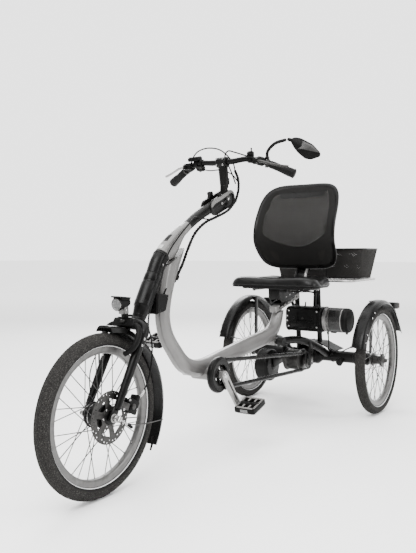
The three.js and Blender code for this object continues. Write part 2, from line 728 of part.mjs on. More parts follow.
function crankArm(side) {
  const end = crankSide(side);
  const x0 = side > 0 ? 90 : -74;
  const x1 = side > 0 ? 100 : -86;
  const spindleRoot = side > 0 ? 96 : -80;
  const geometry = capsule(CRANK.y, CRANK.z, end.y, end.z, 17, 12.5, 6);
  const arm = plate(geometry, Math.min(x0, x1) - 3, Math.max(x0, x1) + 3);
  const spindle = crossRod(spindleRoot, spindleRoot + side * 92, end.y, end.z, 6, 12);
  return join(arm, spindle);
}

function driveCrank() {
  const axle = crossRod(-60, 92, CRANK.y, CRANK.z, 10.4, 16);
  const ring = turned([[0, CHAIN_X - 1.6], [CHAINRING_RADIUS - 3.5, CHAIN_X - 1.6],
    [CHAINRING_RADIUS - 3.5, CHAIN_X + 1.6], [0, CHAIN_X + 1.6]], 20);
  const holes = [];
  for (let i = 0; i < 5; i += 1) {
    const turn = (2 * Math.PI * i) / 5;
    holes.push(crossRod(CHAIN_X - 5, CHAIN_X + 5, 31 * Math.cos(turn), 31 * Math.sin(turn), 10, 6));
  }
  const sprocket = moved(cut(ring, ...holes), 0, CRANK.y, CRANK.z);
  return join(crankArm(1), axle, sprocket);
}

function moved(body, x, y, z) {
  const geometry = geometryOf(body);
  geometry.translate(x, y, z);
  return solid(geometry);
}
part('crank_with_chainring', driveCrank(), BRIGHT_METAL);
part('crank_arm_right', cut(crankArm(-1), crossRod(-82, -40, CRANK.y, CRANK.z, 10.9, 16)), BRIGHT_METAL);

// A cage pedal that turns on its spindle: two rails joined by a hub and end plates.
const PEDAL_TILT_DEGREES = 16;
function pedal() {
  const frame = block([84, 96, 24], [0, 0, 0]);
  const window = block([64, 32, 40], [0, 31, 0]);
  const otherWindow = block([64, 32, 40], [0, -31, 0]);
  const bore = crossRod(-60, 60, 0, 0, 6.5, 12);
  return cut(frame, window, otherWindow, bore).rotate([PEDAL_TILT_DEGREES, 0, 0]);
}
for (const [label, side] of [['left', 1], ['right', -1]]) {
  const end = crankSide(side);
  part(`pedal_${label}`, pedal(), BRIGHT_METAL, whole, [side > 0 ? 148 : -134, end.y, end.z]);
}

// Chain guard: a drum round the chainring and two tubes round the chain's runs.
const CHAIN_HIGH = [at(CHAIN_X, CRANK.y, CRANK.z + CHAINRING_RADIUS),
  at(CHAIN_X, SPROCKET.y, SPROCKET.z + SPROCKET.radius)];
const CHAIN_LOW = [at(CHAIN_X, CRANK.y, CRANK.z - CHAINRING_RADIUS),
  at(CHAIN_X, SPROCKET.y, SPROCKET.z - SPROCKET.radius)];
const onRun = (run, share) => run[0].clone().lerp(run[1], share);

function chainGuard() {
  const drum = moved(turned([
    [20, 83], [66, 83], [66, 59], [40, 59], [40, 61], [63, 61], [63, 81], [20, 81],
  ], 20), 0, CRANK.y, CRANK.z);
  const runs = [CHAIN_HIGH, CHAIN_LOW].map((run) => rod(onRun(run, 0.045), onRun(run, 0.9), 8, 8, 10));
  const bores = [CHAIN_HIGH, CHAIN_LOW].map((run) => rod(onRun(run, 0.02), onRun(run, 0.95), 6, 6, 10));
  const hollow = moved(turned([[0, 61], [63, 61], [63, 81], [0, 81]], 20), 0, CRANK.y, CRANK.z);
  const bracket = block([24, 12, 10], [48, CRANK.y + 47, CRANK.z - 10]);
  return cut(join(drum, cut(join(...runs), hollow)), ...bores).add(cut(bracket, hollow, mainTube(GAP)));
}
part('chain_guard', chainGuard(), BLACK_PLASTIC);

// The closed loop of chain, as one band that lies round both sprockets.
function chain() {
  const outer = chainOutline(2.6);
  const inner = chainOutline(-2.6);
  return cut(plate(outer, CHAIN_X - 2.4, CHAIN_X + 2.4), plate(inner, CHAIN_X - 9, CHAIN_X + 9));
}

function chainOutline(offset) {
  const outline = [];
  const slope = Math.atan2(SPROCKET.z - CRANK.z, SPROCKET.y - CRANK.y);
  for (const [wheel, radius, start] of [[SPROCKET, SPROCKET.radius, -90],
    [CRANK, CHAINRING_RADIUS, 90]]) {
    for (let i = 0; i <= 16; i += 1) {
      const turn = slope + THREE.MathUtils.degToRad(start + (180 * i) / 16);
      outline.push([wheel.y + (radius + offset) * Math.cos(turn),
        wheel.z + (radius + offset) * Math.sin(turn)]);
    }
  }
  return outline;
}
part('chain', chain(), DARK_STEEL);

function gearHub() {
  const barrel = turned([
    [0, -40], [52, -36], [52, -30], [46, -26], [46, 36], [52, 40], [52, 46], [20, 54], [20, 66],
    [SPROCKET.radius - 3.3, CHAIN_X - 2], [SPROCKET.radius - 3.3, CHAIN_X + 2], [0, CHAIN_X + 2],
  ], 16);
  const axle = crossRod(-54, 90, 0, 0, 6, 10);
  return join(barrel, axle);
}
part('gear_hub', gearHub(), DARK_STEEL, whole, [0, SPROCKET.y, SPROCKET.z]);

function driveMotor() {
  const drum = turned([[0, -36], [58, -36], [76, -28], [76, 26], [60, 35], [24, 35], [24, 39], [0, 39]],
    20);
  return drum;
}
const MOTOR = { x: -150, y: 1335, z: 205 };
part('drive_motor', driveMotor(), BLACK_PAINT, whole, [MOTOR.x, MOTOR.y, MOTOR.z]);

// ---------------------------------------------------------------- rear frame

const MAST_TOP = RACK.height - RACK.tube - GAP;
const BATTERY = { y: 1362, z: 437, radius: 56, dockLeft: 138, end: 262 };
function rearFrame() {
  const beam = crossRod(-300, 300, REAR_HUB.y, REAR_HUB.z, 27, 16);
  const belly = turned([[0, -62], [34, -58], [44, -44], [44, 44], [34, 58], [0, 62]], 16);
  const pieces = [beam, moved(belly, 0, REAR_HUB.y, REAR_HUB.z)];
  for (const side of [1, -1]) {
    pieces.push(tube([
      at(side * 44, 1080, 356), at(side * 47, 1120, 357), at(side * 53, 1200, 354),
      at(side * 64, 1300, 338),
      at(side * 84, 1405, 298), at(side * 98, 1486, 256),
    ], 17.5, { sides: 8, steps: 8 }));
    pieces.push(mast(side, 12));
    pieces.push(block([14, 34, 120], [side * 56, 1457, BATTERY.z]));
    pieces.push(rod(at(side * 169, 1462, 226), at(side * 169, 1500, 240), 15, 15, 12));
  }
  pieces.push(block([5, 44, 110], [-50.5, SPROCKET.y, 280]));
  pieces.push(block([5, 44, 110], [83.5, SPROCKET.y, 280]));
  pieces.push(block([6, 190, 46], [-107.4, 1412, 232], 0.15));
  const pivotBore = crossRod(-66, 66, REAR_PIVOT.y, REAR_PIVOT.z, 8.2, 12);
  const lugClear = crossRod(-25.6, 25.6, REAR_PIVOT.y, REAR_PIVOT.z, 40, 16);
  const headClear = [1, -1].map((side) => crossRod(side * 44.2, side * 66, REAR_PIVOT.y, REAR_PIVOT.z,
    13.2, 12));
  const hubBore = crossRod(-60, 95, SPROCKET.y, SPROCKET.z, 6.6, 10);
  const shaftBore = crossRod(-310, 310, REAR_HUB.y, REAR_HUB.z, 12, 12);
  return cut(join(...pieces), pivotBore, lugClear, ...headClear, hubBore, shaftBore);
}

// The upright tubes that hold the battery dock and the rack.
function mast(side, radius) {
  return rod(at(side * 56, 1494, 262), at(side * 56, 1458, MAST_TOP), radius, radius, 10);
}
part('rear_frame', rearFrame(), BLACK_PAINT);

function rearCover() {
  const outer = [[-151, 282], [-116, 298], [-60, 316], [70, 316], [110, 298], [151, 282]];
  const points = [...outer, ...[...outer].reverse().map(([x, z]) => [x * 0.985, z - 3])];
  const shape = new THREE.Shape(points.map(([x, z]) => new THREE.Vector2(x, z)));
  const geometry = new THREE.ExtrudeGeometry(shape, { depth: 110, bevelEnabled: false });
  geometry.rotateX(Math.PI / 2);
  geometry.translate(0, 1558, 0);
  return cut(solid(geometry), mast(1, 13), mast(-1, 13));
}
part('rear_cover', rearCover(), BLACK_PLASTIC);

const GUARD_RADIUS = 279;
for (const [label, side] of [['left', 1], ['right', -1]]) {
  const x = side * HALF_TRACK;
  const arc = new Arc(REAR_HUB, GUARD_RADIUS, 162, 40, 92);
  const guard = moved(sweep(arc, 20, () => channel(33, 18, 2.4)), x, 0, 0);
  const stay = block([4.6, 30, 244], [side * 305.2, REAR_HUB.y, REAR_HUB.z + 150]);
  const foreStay = bars([at(side * 305.4, 1494, REAR_HUB.z + 34),
    at(side * 306, 1252, REAR_HUB.z + 88)], 2.3, 6);
  part(`rear_mudguard_${label}`, join(guard, stay, foreStay), BLACK_PLASTIC);

  const lamp = block([40, 94, 36], [x, 1719, 486]);
  const clearance = moved(turned([[0, -60], [GUARD_RADIUS + GAP, -60], [GUARD_RADIUS + GAP, 60],
    [0, 60]], 90), x, REAR_HUB.y, REAR_HUB.z);
  part(`tail_light_${label}`, cut(lamp, clearance), RED_LENS);
}

// ---------------------------------------------------------------- battery

function batteryDock() {
  const half = 56;
  const chamfer = 14;
  const outline = [];
  for (const [a, b] of [[1, -1], [1, 1], [-1, 1], [-1, -1]]) {
    const first = [BATTERY.y + a * (half - (a === b ? 0 : chamfer)),
      BATTERY.z + b * (half - (a === b ? chamfer : 0))];
    const second = [BATTERY.y + a * (half - (a === b ? chamfer : 0)),
      BATTERY.z + b * (half - (a === b ? 0 : chamfer))];
    outline.push(first, second);
  }
  const body = plate(outline, -38, BATTERY.dockLeft);
  const socket = crossRod(20, BATTERY.dockLeft + 10, BATTERY.y, BATTERY.z, 47, 24);
  const backPlate = block([150, 23.6, 80], [15, 1427.8, BATTERY.z]);
  return cut(join(body, backPlate), socket);
}
part('battery_dock', batteryDock(), BLACK_PLASTIC);

function battery() {
  const can = turned([
    [0, 0], [44, 0], [46, 2], [46, 115], [54, 119], [54, 126], [BATTERY.radius, 130],
    [BATTERY.radius, 226], [50, 238], [0, 238],
  ], 20);
  return moved(can, BATTERY.end - 238, BATTERY.y, BATTERY.z);
}
part('battery', battery(), CAN_GREY);

const REAR_CABLE = [
  [150, 1366, 380], [150, 1374, 345], [140, 1400, 308], [125, 1428, 291], [135, 1437, 283],
  [160, 1422, 283],
  [205, 1386, 288], [255, 1335, 312], [301, 1290, 332],
];
part('rear_cable', tube(REAR_CABLE.map((p) => at(...p)), 2.8, { sides: 6, steps: 26 }), BLACK_PLASTIC);

// ---------------------------------------------------------------- rack and basket

function rack() {
  const { front, rear, height, halfWidth, taper, tube: r } = RACK;
  const half = (side) => {
    const corners = [
      at(0, front, height), at(side * halfWidth, front, height),
      at(side * (halfWidth - taper), rear, height), at(0, rear, height),
    ];
    return bars(corners, r, 6);
  };
  const rungs = [1458, 1600, 1720].map((y) => {
    const reach = halfWidth - (taper * (y - front)) / (rear - front) - 2;
    return rod(at(-reach, y, height), at(reach, y, height), r - 0.5, r - 0.5, 6);
  });
  return join(half(1), half(-1), ...rungs);
}
part('rack', rack(), BRIGHT_METAL);

const BASKET = { base: 620.6, rim: 768, front: 1572, rear: 1776, halfBase: 216, halfRim: 246, lean: 12,
  wall: 4 };
function basketShell(inset, floor) {
  const { base, rim, front, rear, halfBase, halfRim, lean } = BASKET;
  const rectangle = (half, y0, y1, z) => [
    at(-half + inset, y0 + inset, z), at(half - inset, y0 + inset, z), at(half - inset, y1 - inset, z),
    at(-half + inset, y1 - inset, z),
  ];
  const low = rectangle(halfBase, front + lean, rear - lean, base + floor);
  const high = rectangle(halfRim, front, rear, rim + (inset > 0 ? 2 : 0));
  return skin([low, high], low.map((p) => new THREE.Vector2(p.x, p.y)));
}
part('basket', cut(basketShell(0, 0), basketShell(BASKET.wall, BASKET.wall)), MESH_FABRIC);

// ---------------------------------------------------------------- seat

function seatRail() {
  const bar = block([RAIL.width, RAIL.length, RAIL.height], onRail(0, 0), RAIL_ANGLE);
  const slots = [-80, -45, -10, 25, 60, 92].map((along) => block([60, 16, 8], onRail(along, 0),
    RAIL_ANGLE));
  const foot = block([20, 50, 10], onRail(-74, -RAIL.foot + 5 + GAP), RAIL_ANGLE);
  return join(cut(bar, ...slots), foot);
}
part('seat_rail', seatRail(), BRIGHT_METAL);

const PAN = { z: 584, thick: 10, front: 1096, rear: 1366 };
const BACK_PIVOT = { y: 1384, z: 602 };
function seatCarriage() {
  const sleeve = block([56, 150, 40], onRail(-8, 1.5), RAIL_ANGLE);
  const opening = block([RAIL.width + 1.2, 400, RAIL.height + 1.2], onRail(0, 0), RAIL_ANGLE);
  const slit = block([RAIL.width - 8, 400, 40], onRail(0, -20), RAIL_ANGLE);
  const post = block([46, 56, 84], [0, 1142, 547]);
  const gusset = plate([[1150, 520], [1282, 549], [1290, PAN.z + 2], [1150, PAN.z + 2]], -28, 28);
  const pan = block([300, PAN.rear - PAN.front, PAN.thick],
    [0, (PAN.rear + PAN.front) / 2, PAN.z + PAN.thick / 2]);
  const lugs = [60.5, -70].map((x) => plate(capsule(1356, 588, BACK_PIVOT.y, BACK_PIVOT.z, 6, 11), x,
    x + 9.5));
  const pins = crossRod(-75, 75, BACK_PIVOT.y, BACK_PIVOT.z, 4.8, 12);
  return cut(join(cut(join(sleeve, post, gusset), opening, slit), pan, ...lugs), pins);
}

part('seat_carriage', seatCarriage(), BLACK_PAINT);

// Cushion outline seen from above: wide and rounded at the front, narrower at the back.
function cushion() {
  const outline = new THREE.Shape();
  outline.moveTo(-150, 1084);
  outline.quadraticCurveTo(-206, 1078, -208, 1130);
  outline.bezierCurveTo(-208, 1220, -176, 1280, -160, 1352);
  outline.quadraticCurveTo(-154, 1372, -130, 1372);
  outline.lineTo(130, 1372);
  outline.quadraticCurveTo(154, 1372, 160, 1352);
  outline.bezierCurveTo(176, 1280, 208, 1220, 208, 1130);
  outline.quadraticCurveTo(206, 1078, 150, 1084);
  outline.quadraticCurveTo(0, 1106, -150, 1084);
  const bottom = PAN.z + PAN.thick + GAP;
  const geometry = new THREE.ExtrudeGeometry(outline,
    { depth: SEAT_TOP - bottom, bevelEnabled: false, curveSegments: 6 });
  geometry.translate(0, 0, bottom);
  const notch = block([156, 80, 100], [0, 1394, 600]);
  return cut(solid(geometry), notch);
}
part('seat_cushion', cushion(), SEAT_VINYL);

function seatLever() {
  const boss = rod(at(40, 1196, 567), at(40, 1196, 583.6), 8, 8, 10);
  const arm = bars([at(40, 1196, 573), at(130, 1192, 574), at(172, 1184, 570)], 4, 6);
  return join(boss, arm);
}
part('seat_lever', seatLever(), DARK_STEEL);

// ---------------------------------------------------------------- backrest

const BACK = { low: 668, high: 1074, halfWidth: 207, wing: 34, power: 0.4 };

// How far back the middle of the backrest stands at a height.
const backProfile = new THREE.CatmullRomCurve3([
  at(0, 1404, 668), at(0, 1368, 730), at(0, 1326, 800), at(0, 1330, 870), at(0, 1376, 970),
  at(0, 1430, 1074),
]);

function backPoint(x, z, push) {
  const spine = pointWhere(backProfile, (p) => p.z < z);
  const wing = BACK.wing * (x / BACK.halfWidth) ** 2;
  return at(x, spine.y - wing + push, z);
}

// The rounded outline of the backrest, drawn in to a share of its size.
function backOutline(turn, share) {
  const bulge = (v) => Math.sign(v) * Math.abs(v) ** BACK.power;
  const middle = (BACK.low + BACK.high) / 2;
  const tall = (BACK.high - BACK.low) / 2;
  const narrow = 1 - 0.07 * Math.max(0, Math.sin(turn));
  return [
    BACK.halfWidth * share * narrow * bulge(Math.cos(turn)),
    middle + (tall - BACK.halfWidth * (1 - share)) * bulge(Math.sin(turn)),
  ];
}

function backFrame() {
  const count = 32;
  const rings = [];
  for (let i = 0; i < count; i += 1) {
    const turn = (2 * Math.PI * i) / count;
    const [xo, zo] = backOutline(turn, 1);
    const [xi, zi] = backOutline(turn, 0.9);
    rings.push([backPoint(xo, zo, 2), backPoint(xi, zi, 0), backPoint(xi, zi, 16),
      backPoint(xo, zo, 14)]);
  }
  const shell = sheet(
    (u, v) => {
      const low = THREE.MathUtils.lerp(686, 796, v);
      const x = (2 * u - 1) * halfWidthAt(low, 0.95);
      return [x, low + 34 * v * (x / BACK.halfWidth) ** 2];
    },
    12, 18, 8, 6,
  );
  return join(skin(rings, [], true), shell);
}

// Half the width of the backrest at a height, for the outline drawn in to a share of its size.
function halfWidthAt(z, share) {
  const middle = (BACK.low + BACK.high) / 2;
  const tall = (BACK.high - BACK.low) / 2 - BACK.halfWidth * (1 - share);
  const rise = Math.min(Math.abs(z - middle) / tall, 1);
  const narrow = 1 - 0.07 * Math.max(0, (z - middle) / tall);
  return BACK.halfWidth * share * narrow * (1 - rise ** (2 / BACK.power)) ** (BACK.power / 2);
}

// A curved slab that follows the backrest between two depths; plan(u, v) gives its x and z.
function sheet(plan, front, back, across, up) {
  const rings = [];
  for (let j = 0; j <= up; j += 1) {
    const row = [];
    for (let i = 0; i <= across; i += 1) {
      row.push(backPoint(...plan(i / across, j / up), front));
    }
    for (let i = across; i >= 0; i -= 1) {
      row.push(backPoint(...plan(i / across, j / up), back));
    }
    rings.push(row);
  }
  return skin(rings, rings[0].map((p) => new THREE.Vector2(p.x, p.y)));
}
part('back_frame', backFrame(), BLACK_PLASTIC);

function backMesh() {
  const inset = 0.885;
  const reach = (BACK.high - BACK.low) / 2 - BACK.halfWidth * (1 - inset);
  return sheet(
    (u, v) => {
      const z = (BACK.low + BACK.high) / 2 - reach * 0.985 * Math.cos(Math.PI * v);
      return [(2 * u - 1) * halfWidthAt(z, inset), z];
    },
    2.2, 5, 8, 12,
  );
}
part('back_mesh', backMesh(), MESH_FABRIC);

function backBracket() {
  const pivot = crossRod(-59.5, 59.5, BACK_PIVOT.y, BACK_PIVOT.z, 9.5, 16);
  const pins = crossRod(-71, 71, BACK_PIVOT.y, BACK_PIVOT.z, 4, 12);
  const spine = sweep(planar([[1384, 604], [1394, 640], [1434, 680], [1414, 722], [1377, 762]]), 10,
    () => [
    [-34, -5], [34, -5], [34, 5], [-34, 5],
  ]);
  return join(pivot, pins, spine);
}
part('back_bracket', backBracket(), BLACK_PAINT);

export default tricycle;
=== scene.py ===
"""Adult tricycle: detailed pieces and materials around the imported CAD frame."""
import math

import bmesh
import bpy
import numpy as np
from mathutils import Matrix, Vector


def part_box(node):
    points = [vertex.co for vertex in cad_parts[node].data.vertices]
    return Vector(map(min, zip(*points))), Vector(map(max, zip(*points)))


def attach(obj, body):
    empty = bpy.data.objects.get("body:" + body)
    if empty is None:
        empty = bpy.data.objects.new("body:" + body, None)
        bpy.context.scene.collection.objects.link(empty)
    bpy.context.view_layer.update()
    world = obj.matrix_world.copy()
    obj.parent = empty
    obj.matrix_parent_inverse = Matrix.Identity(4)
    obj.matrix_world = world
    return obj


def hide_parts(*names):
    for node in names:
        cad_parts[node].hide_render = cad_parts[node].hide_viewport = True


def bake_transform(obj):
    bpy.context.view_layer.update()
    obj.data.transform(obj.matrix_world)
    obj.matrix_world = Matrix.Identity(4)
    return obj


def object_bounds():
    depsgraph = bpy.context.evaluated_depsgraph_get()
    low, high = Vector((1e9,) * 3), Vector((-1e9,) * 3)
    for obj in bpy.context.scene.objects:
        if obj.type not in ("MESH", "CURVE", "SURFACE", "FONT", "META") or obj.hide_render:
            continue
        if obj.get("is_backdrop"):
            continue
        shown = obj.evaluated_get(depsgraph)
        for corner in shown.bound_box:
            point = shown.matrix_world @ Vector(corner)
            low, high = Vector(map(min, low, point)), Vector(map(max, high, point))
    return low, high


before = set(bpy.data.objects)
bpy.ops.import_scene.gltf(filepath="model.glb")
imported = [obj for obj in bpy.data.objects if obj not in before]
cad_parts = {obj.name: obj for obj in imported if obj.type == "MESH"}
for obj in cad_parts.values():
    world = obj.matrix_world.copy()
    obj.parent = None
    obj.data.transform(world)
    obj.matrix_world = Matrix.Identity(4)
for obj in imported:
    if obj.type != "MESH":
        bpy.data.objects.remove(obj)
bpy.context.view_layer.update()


# ---------------------------------------------------------------- places
# Millimetres, from the ground below the front axle: X to the rider's left, Y back, Z up.


def centre(node):
    """Middle of a CAD node's box, in metres."""
    low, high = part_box(node)
    return (low + high) / 2


DATUM = centre("front_axle").y * 1000
FRONT_Z = centre("front_tyre").z * 1000
REAR_Y = centre("rear_tyre_left").y * 1000 - DATUM
REAR_Z = centre("rear_tyre_left").z * 1000
HALF_TRACK = centre("rear_tyre_left").x * 1000
TYRE_GAP = 1.2
FRONT_RADIUS = FRONT_Z - TYRE_GAP
REAR_RADIUS = REAR_Z - TYRE_GAP
FRONT_HUB = (0, 0, FRONT_Z)
REAR_MIDDLE = (0, REAR_Y, REAR_Z)
RAKE = math.radians(28.9)
RAIL_TILT = math.radians(13)
CRANK_Y = 555
CRANK_Z = 297
CRANK_MIDDLE = (0, CRANK_Y, CRANK_Z)
CRANK_LENGTH = 155
CRANK_ANGLE = math.radians(-52)
STEM_PIVOT = (700, 950)
BACK_PIVOT = (1384, 602)
SPROCKET_Y = 1325
SPROCKET_Z = 245
SPROCKET = (0, SPROCKET_Y, SPROCKET_Z)
CHAIN_X = 71
CHAINRING_RADIUS = 52.0
SPROCKET_RADIUS = 36.0
REAR_JOINT = (1092, 357)
MOTOR = (-150, 1335, 205)
PEDAL_TILT = math.radians(16)
BATTERY_Y = 1362
BATTERY_Z = 437
MIRROR_BALL = np.array((268, 722, 1158.0))
SIDES = (("left", 1), ("right", -1))

CROWN_Y = 182
CROWN_Z = 524
RAIL_Y = 1222
RAIL_Z = 519


def column(x, back, up):
    """A point given square to the steering axis."""
    return (
        x,
        CROWN_Y + back * math.cos(RAKE) + up * math.sin(RAKE),
        CROWN_Z - back * math.sin(RAKE) + up * math.cos(RAKE),
    )


STEER_AXIS = np.array(column(0, 0, 1)) - np.array(column(0, 0, 0))


def rail(x, along, above):
    """A point given along and square to the sloping seat rail."""
    return (
        x,
        RAIL_Y + along * math.cos(RAIL_TILT) - above * math.sin(RAIL_TILT),
        RAIL_Z + along * math.sin(RAIL_TILT) + above * math.cos(RAIL_TILT),
    )


def round_turns(count):
    """Evenly spaced angles of one full turn."""
    return np.arange(count) * 2 * math.pi / count


# ---------------------------------------------------------------- materials


def mixed_in(nodes, links, base, top, share):
    """Mixes a fixed colour over a colour output by the share of another output."""
    mixed = nodes.new("ShaderNodeMix")
    mixed.data_type = "RGBA"
    mixed.inputs["B"].default_value = (*top, 1)
    links.new(share, mixed.inputs["Factor"])
    links.new(base, mixed.inputs["A"])
    return mixed.outputs["Result"]


def ramp(nodes, links, source, low, high):
    """A colour ramp between two positions, fed by an output."""
    made = nodes.new("ShaderNodeValToRGB")
    made.color_ramp.elements[0].position = low
    made.color_ramp.elements[1].position = high
    links.new(source, made.inputs["Fac"])
    return made


def noise(nodes, links, place, scale, detail):
    """A noise texture placed by a coordinate output."""
    node = nodes.new("ShaderNodeTexNoise")
    node.inputs["Scale"].default_value = scale
    node.inputs["Detail"].default_value = detail
    links.new(place, node.inputs["Vector"])
    return node


def finish(
    name, dark, light, rough, metal=0.0, grain=40, fleck=0.0, bump=0.06, bump_size=900, coat=0.0,
    edge_highlight=None, specular=0.5,
):
    """A procedural finish: two tones mixed by noise, uneven gloss and a fine surface grain.

    It can have bright flecks (fleck) and a painted edge highlight that makes convex edges lighter
    (edge_highlight).
    """
    material = bpy.data.materials.new(name)
    material.use_nodes = True
    nodes, links = material.node_tree.nodes, material.node_tree.links
    shader = nodes["Principled BSDF"]
    place = nodes.new("ShaderNodeTexCoord").outputs["Object"]
    cloud = noise(nodes, links, place, grain, 6)
    fine = noise(nodes, links, place, bump_size, 3)
    tones = ramp(nodes, links, cloud.outputs["Fac"], 0.34, 0.66)
    tones.color_ramp.elements[0].color = (*dark, 1)
    tones.color_ramp.elements[1].color = (*light, 1)
    colour = tones.outputs["Color"]
    if fleck:
        specks = ramp(nodes, links, fine.outputs["Fac"], 0.52, 0.74)
        bright = (light[0] + fleck, light[1] + fleck * 0.96, light[2] + fleck * 0.9)
        colour = mixed_in(nodes, links, colour, bright, specks.outputs["Color"])
    # Painted edge highlight: convex edges, picked out by pointiness, get a lighter colour.
    if edge_highlight:
        edges = nodes.new("ShaderNodeNewGeometry")
        highlit_edges = ramp(nodes, links, edges.outputs["Pointiness"], 0.53, 0.62)
        colour = mixed_in(nodes, links, colour, edge_highlight, highlit_edges.outputs["Color"])
    links.new(colour, shader.inputs["Base Color"])
    gloss = nodes.new("ShaderNodeMapRange")
    gloss.inputs["From Min"].default_value = 0.3
    gloss.inputs["From Max"].default_value = 0.7
    gloss.inputs["To Min"].default_value = max(rough - 0.06, 0.04)
    gloss.inputs["To Max"].default_value = rough + 0.07
    links.new(cloud.outputs["Fac"], gloss.inputs["Value"])
    links.new(gloss.outputs["Result"], shader.inputs["Roughness"])
    relief = nodes.new("ShaderNodeBump")
    relief.inputs["Strength"].default_value = bump
    relief.inputs["Distance"].default_value = 0.001
    links.new(fine.outputs["Fac"], relief.inputs["Height"])
    links.new(relief.outputs["Normal"], shader.inputs["Normal"])
    shader.inputs["Metallic"].default_value = metal
    shader.inputs["Coat Weight"].default_value = coat
    shader.inputs["Specular IOR Level"].default_value = specular
    shader.inputs["Coat Roughness"].default_value = 0.18
    return material


def grey(level, warmth=0.03):
    """A grey that leans to warm by a share."""
    return (level * (1 + warmth), level, level * (1 - warmth))


SILVER = finish("silver_paint", grey(0.102, 0.03), grey(0.126, 0.028), 0.34, 0.3, 14, bump=0.03, coat=0.15)
# Black paint, with a painted highlight that makes its convex edges lighter.
BLACK = finish(
    "black_paint", grey(0.0024), grey(0.0042), 0.3, 0, 30, bump=0.05, edge_highlight=grey(0.009), specular=0.1,
)
PLASTIC = finish(
    "black_plastic", grey(0.0024), grey(0.0042), 0.46, 0, 60, bump=0.25, bump_size=1500, specular=0.07,
)
GUARD = finish("guard_plastic", grey(0.0024), grey(0.004), 0.28, 0, 40, bump=0.08, specular=0.11)
RUBBER = finish(
    "tyre_rubber", grey(0.008, 0.05), grey(0.015, 0.05), 0.86, 0, 180, fleck=0.055, bump=0.7,
    bump_size=420, specular=0.1,
)
SIDEWALL = finish(
    "sidewall_rubber", grey(0.006, 0.04), grey(0.010, 0.04), 0.75, 0, 120, bump=0.25, bump_size=700,
    specular=0.12,
)
STRIPE = finish("reflective_stripe", grey(0.55, 0.0), grey(0.65, 0.0), 0.35, 0, 300, bump=0.05)
GRIP = finish("grip_rubber", grey(0.003), grey(0.005), 0.56, 0, 90, bump=0.4, bump_size=1300, specular=0.1)
BRIGHT = finish("bright_metal", grey(0.30, 0.01), grey(0.38, 0.01), 0.24, 0.95, 50, bump=0.05)
ALLOY = finish("satin_alloy", grey(0.24, 0.02), grey(0.30, 0.02), 0.38, 0.75, 60, bump=0.08)
SPOKE = finish("spoke_steel", grey(0.02), grey(0.04), 0.32, 0.85, 80, bump=0.03)
RIM = finish("rim_alloy", grey(0.085, 0.02), grey(0.12, 0.02), 0.36, 0.75, 60, bump=0.08)
STEEL = finish("dark_steel", grey(0.02), grey(0.04), 0.36, 0.85, 70, bump=0.12)
CAN = finish("can_grey", grey(0.010), grey(0.016), 0.26, 0.4, 25, bump=0.04, coat=0.12)
FACET = finish("mirror_facet", grey(0.022), grey(0.03), 0.3, 0.2, 25, bump=0.04)
CHROME = finish("chrome", grey(0.42, 0.0), grey(0.5, 0.0), 0.1, 1.0, 50, bump=0.02)
LENS = finish("clear_lens", grey(0.07, 0), grey(0.15, 0), 0.08, 0, 120, bump=0.2, coat=0.5)
RED = finish("red_lens", (0.05, 0.008, 0.007), (0.08, 0.012, 0.01), 0.16, 0, 200, bump=0.2, coat=0.6)
STUD = finish("pedal_tread", grey(0.10), grey(0.15), 0.6, 0, 220, fleck=0.08, bump=0.5, bump_size=800)
VINYL = finish("seat_vinyl", grey(0.003), grey(0.005), 0.32, 0, 45, bump=0.2, bump_size=650, specular=0.15)
WIRE = finish("basket_wire", grey(0.012, 0.06), grey(0.02, 0.06), 0.5, 0.2, 120, bump=0.1, specular=0.2)
PATCH = finish("blank_patch", grey(0.36, 0.01), grey(0.42, 0.01), 0.3, 0.1, 60, bump=0.02)


def weave(name, dark, light, pitch):
    """Woven fabric: two families of threads across the X and Z directions."""
    material = finish(name, dark, light, 0.85, 0, 160, bump=0.4, bump_size=1100, specular=0.1)
    nodes, links = material.node_tree.nodes, material.node_tree.links
    shader = nodes["Principled BSDF"]
    place = nodes.new("ShaderNodeTexCoord")
    waves = []
    for direction in ("X", "Z"):
        wave = nodes.new("ShaderNodeTexWave")
        wave.bands_direction = direction
        wave.inputs["Scale"].default_value = 0.314 / pitch
        links.new(place.outputs["Object"], wave.inputs["Vector"])
        waves.append(wave)
    both = nodes.new("ShaderNodeMath")
    both.operation = "MULTIPLY"
    links.new(waves[0].outputs["Fac"], both.inputs[0])
    links.new(waves[1].outputs["Fac"], both.inputs[1])
    relief = shader.inputs["Normal"].links[0].from_node
    relief.inputs["Strength"].default_value = 0.7
    relief.inputs["Distance"].default_value = 0.0006
    links.new(both.outputs["Value"], relief.inputs["Height"])
    shader.inputs["Sheen Weight"].default_value = 0.02
    return material


NET = weave("mesh_fabric", grey(0.0065, 0.08), grey(0.0115, 0.08), 0.0022)
BORDER = weave("border_fabric", grey(0.005, 0.05), grey(0.008, 0.05), 0.0026)


# ---------------------------------------------------------------- shape helpers


def curve(points, count):
    """Points along a centripetal Catmull-Rom curve."""
    p = np.array(points, float)
    p = np.vstack([2 * p[0] - p[1], p, 2 * p[-1] - p[-2]])
    spans = len(p) - 3
    line = []
    for k in range(count + 1):
        t = k / count * spans
        i = min(int(t), spans - 1)
        w = t - i
        a, b, c, d = p[i : i + 4]
        ab, bc, cd = (max(np.linalg.norm(q) ** 0.5, 1e-6) for q in (b - a, c - b, d - c))
        start = ((b - a) / ab - (c - a) / (ab + bc) + (c - b) / bc) * bc
        end = ((c - b) / bc - (d - b) / (bc + cd) + (d - c) / cd) * bc
        line.append(
            b + w * start + w * w * (3 * (c - b) - 2 * start - end) + w**3 * (2 * (b - c) + start + end)
        )
    return np.array(line)


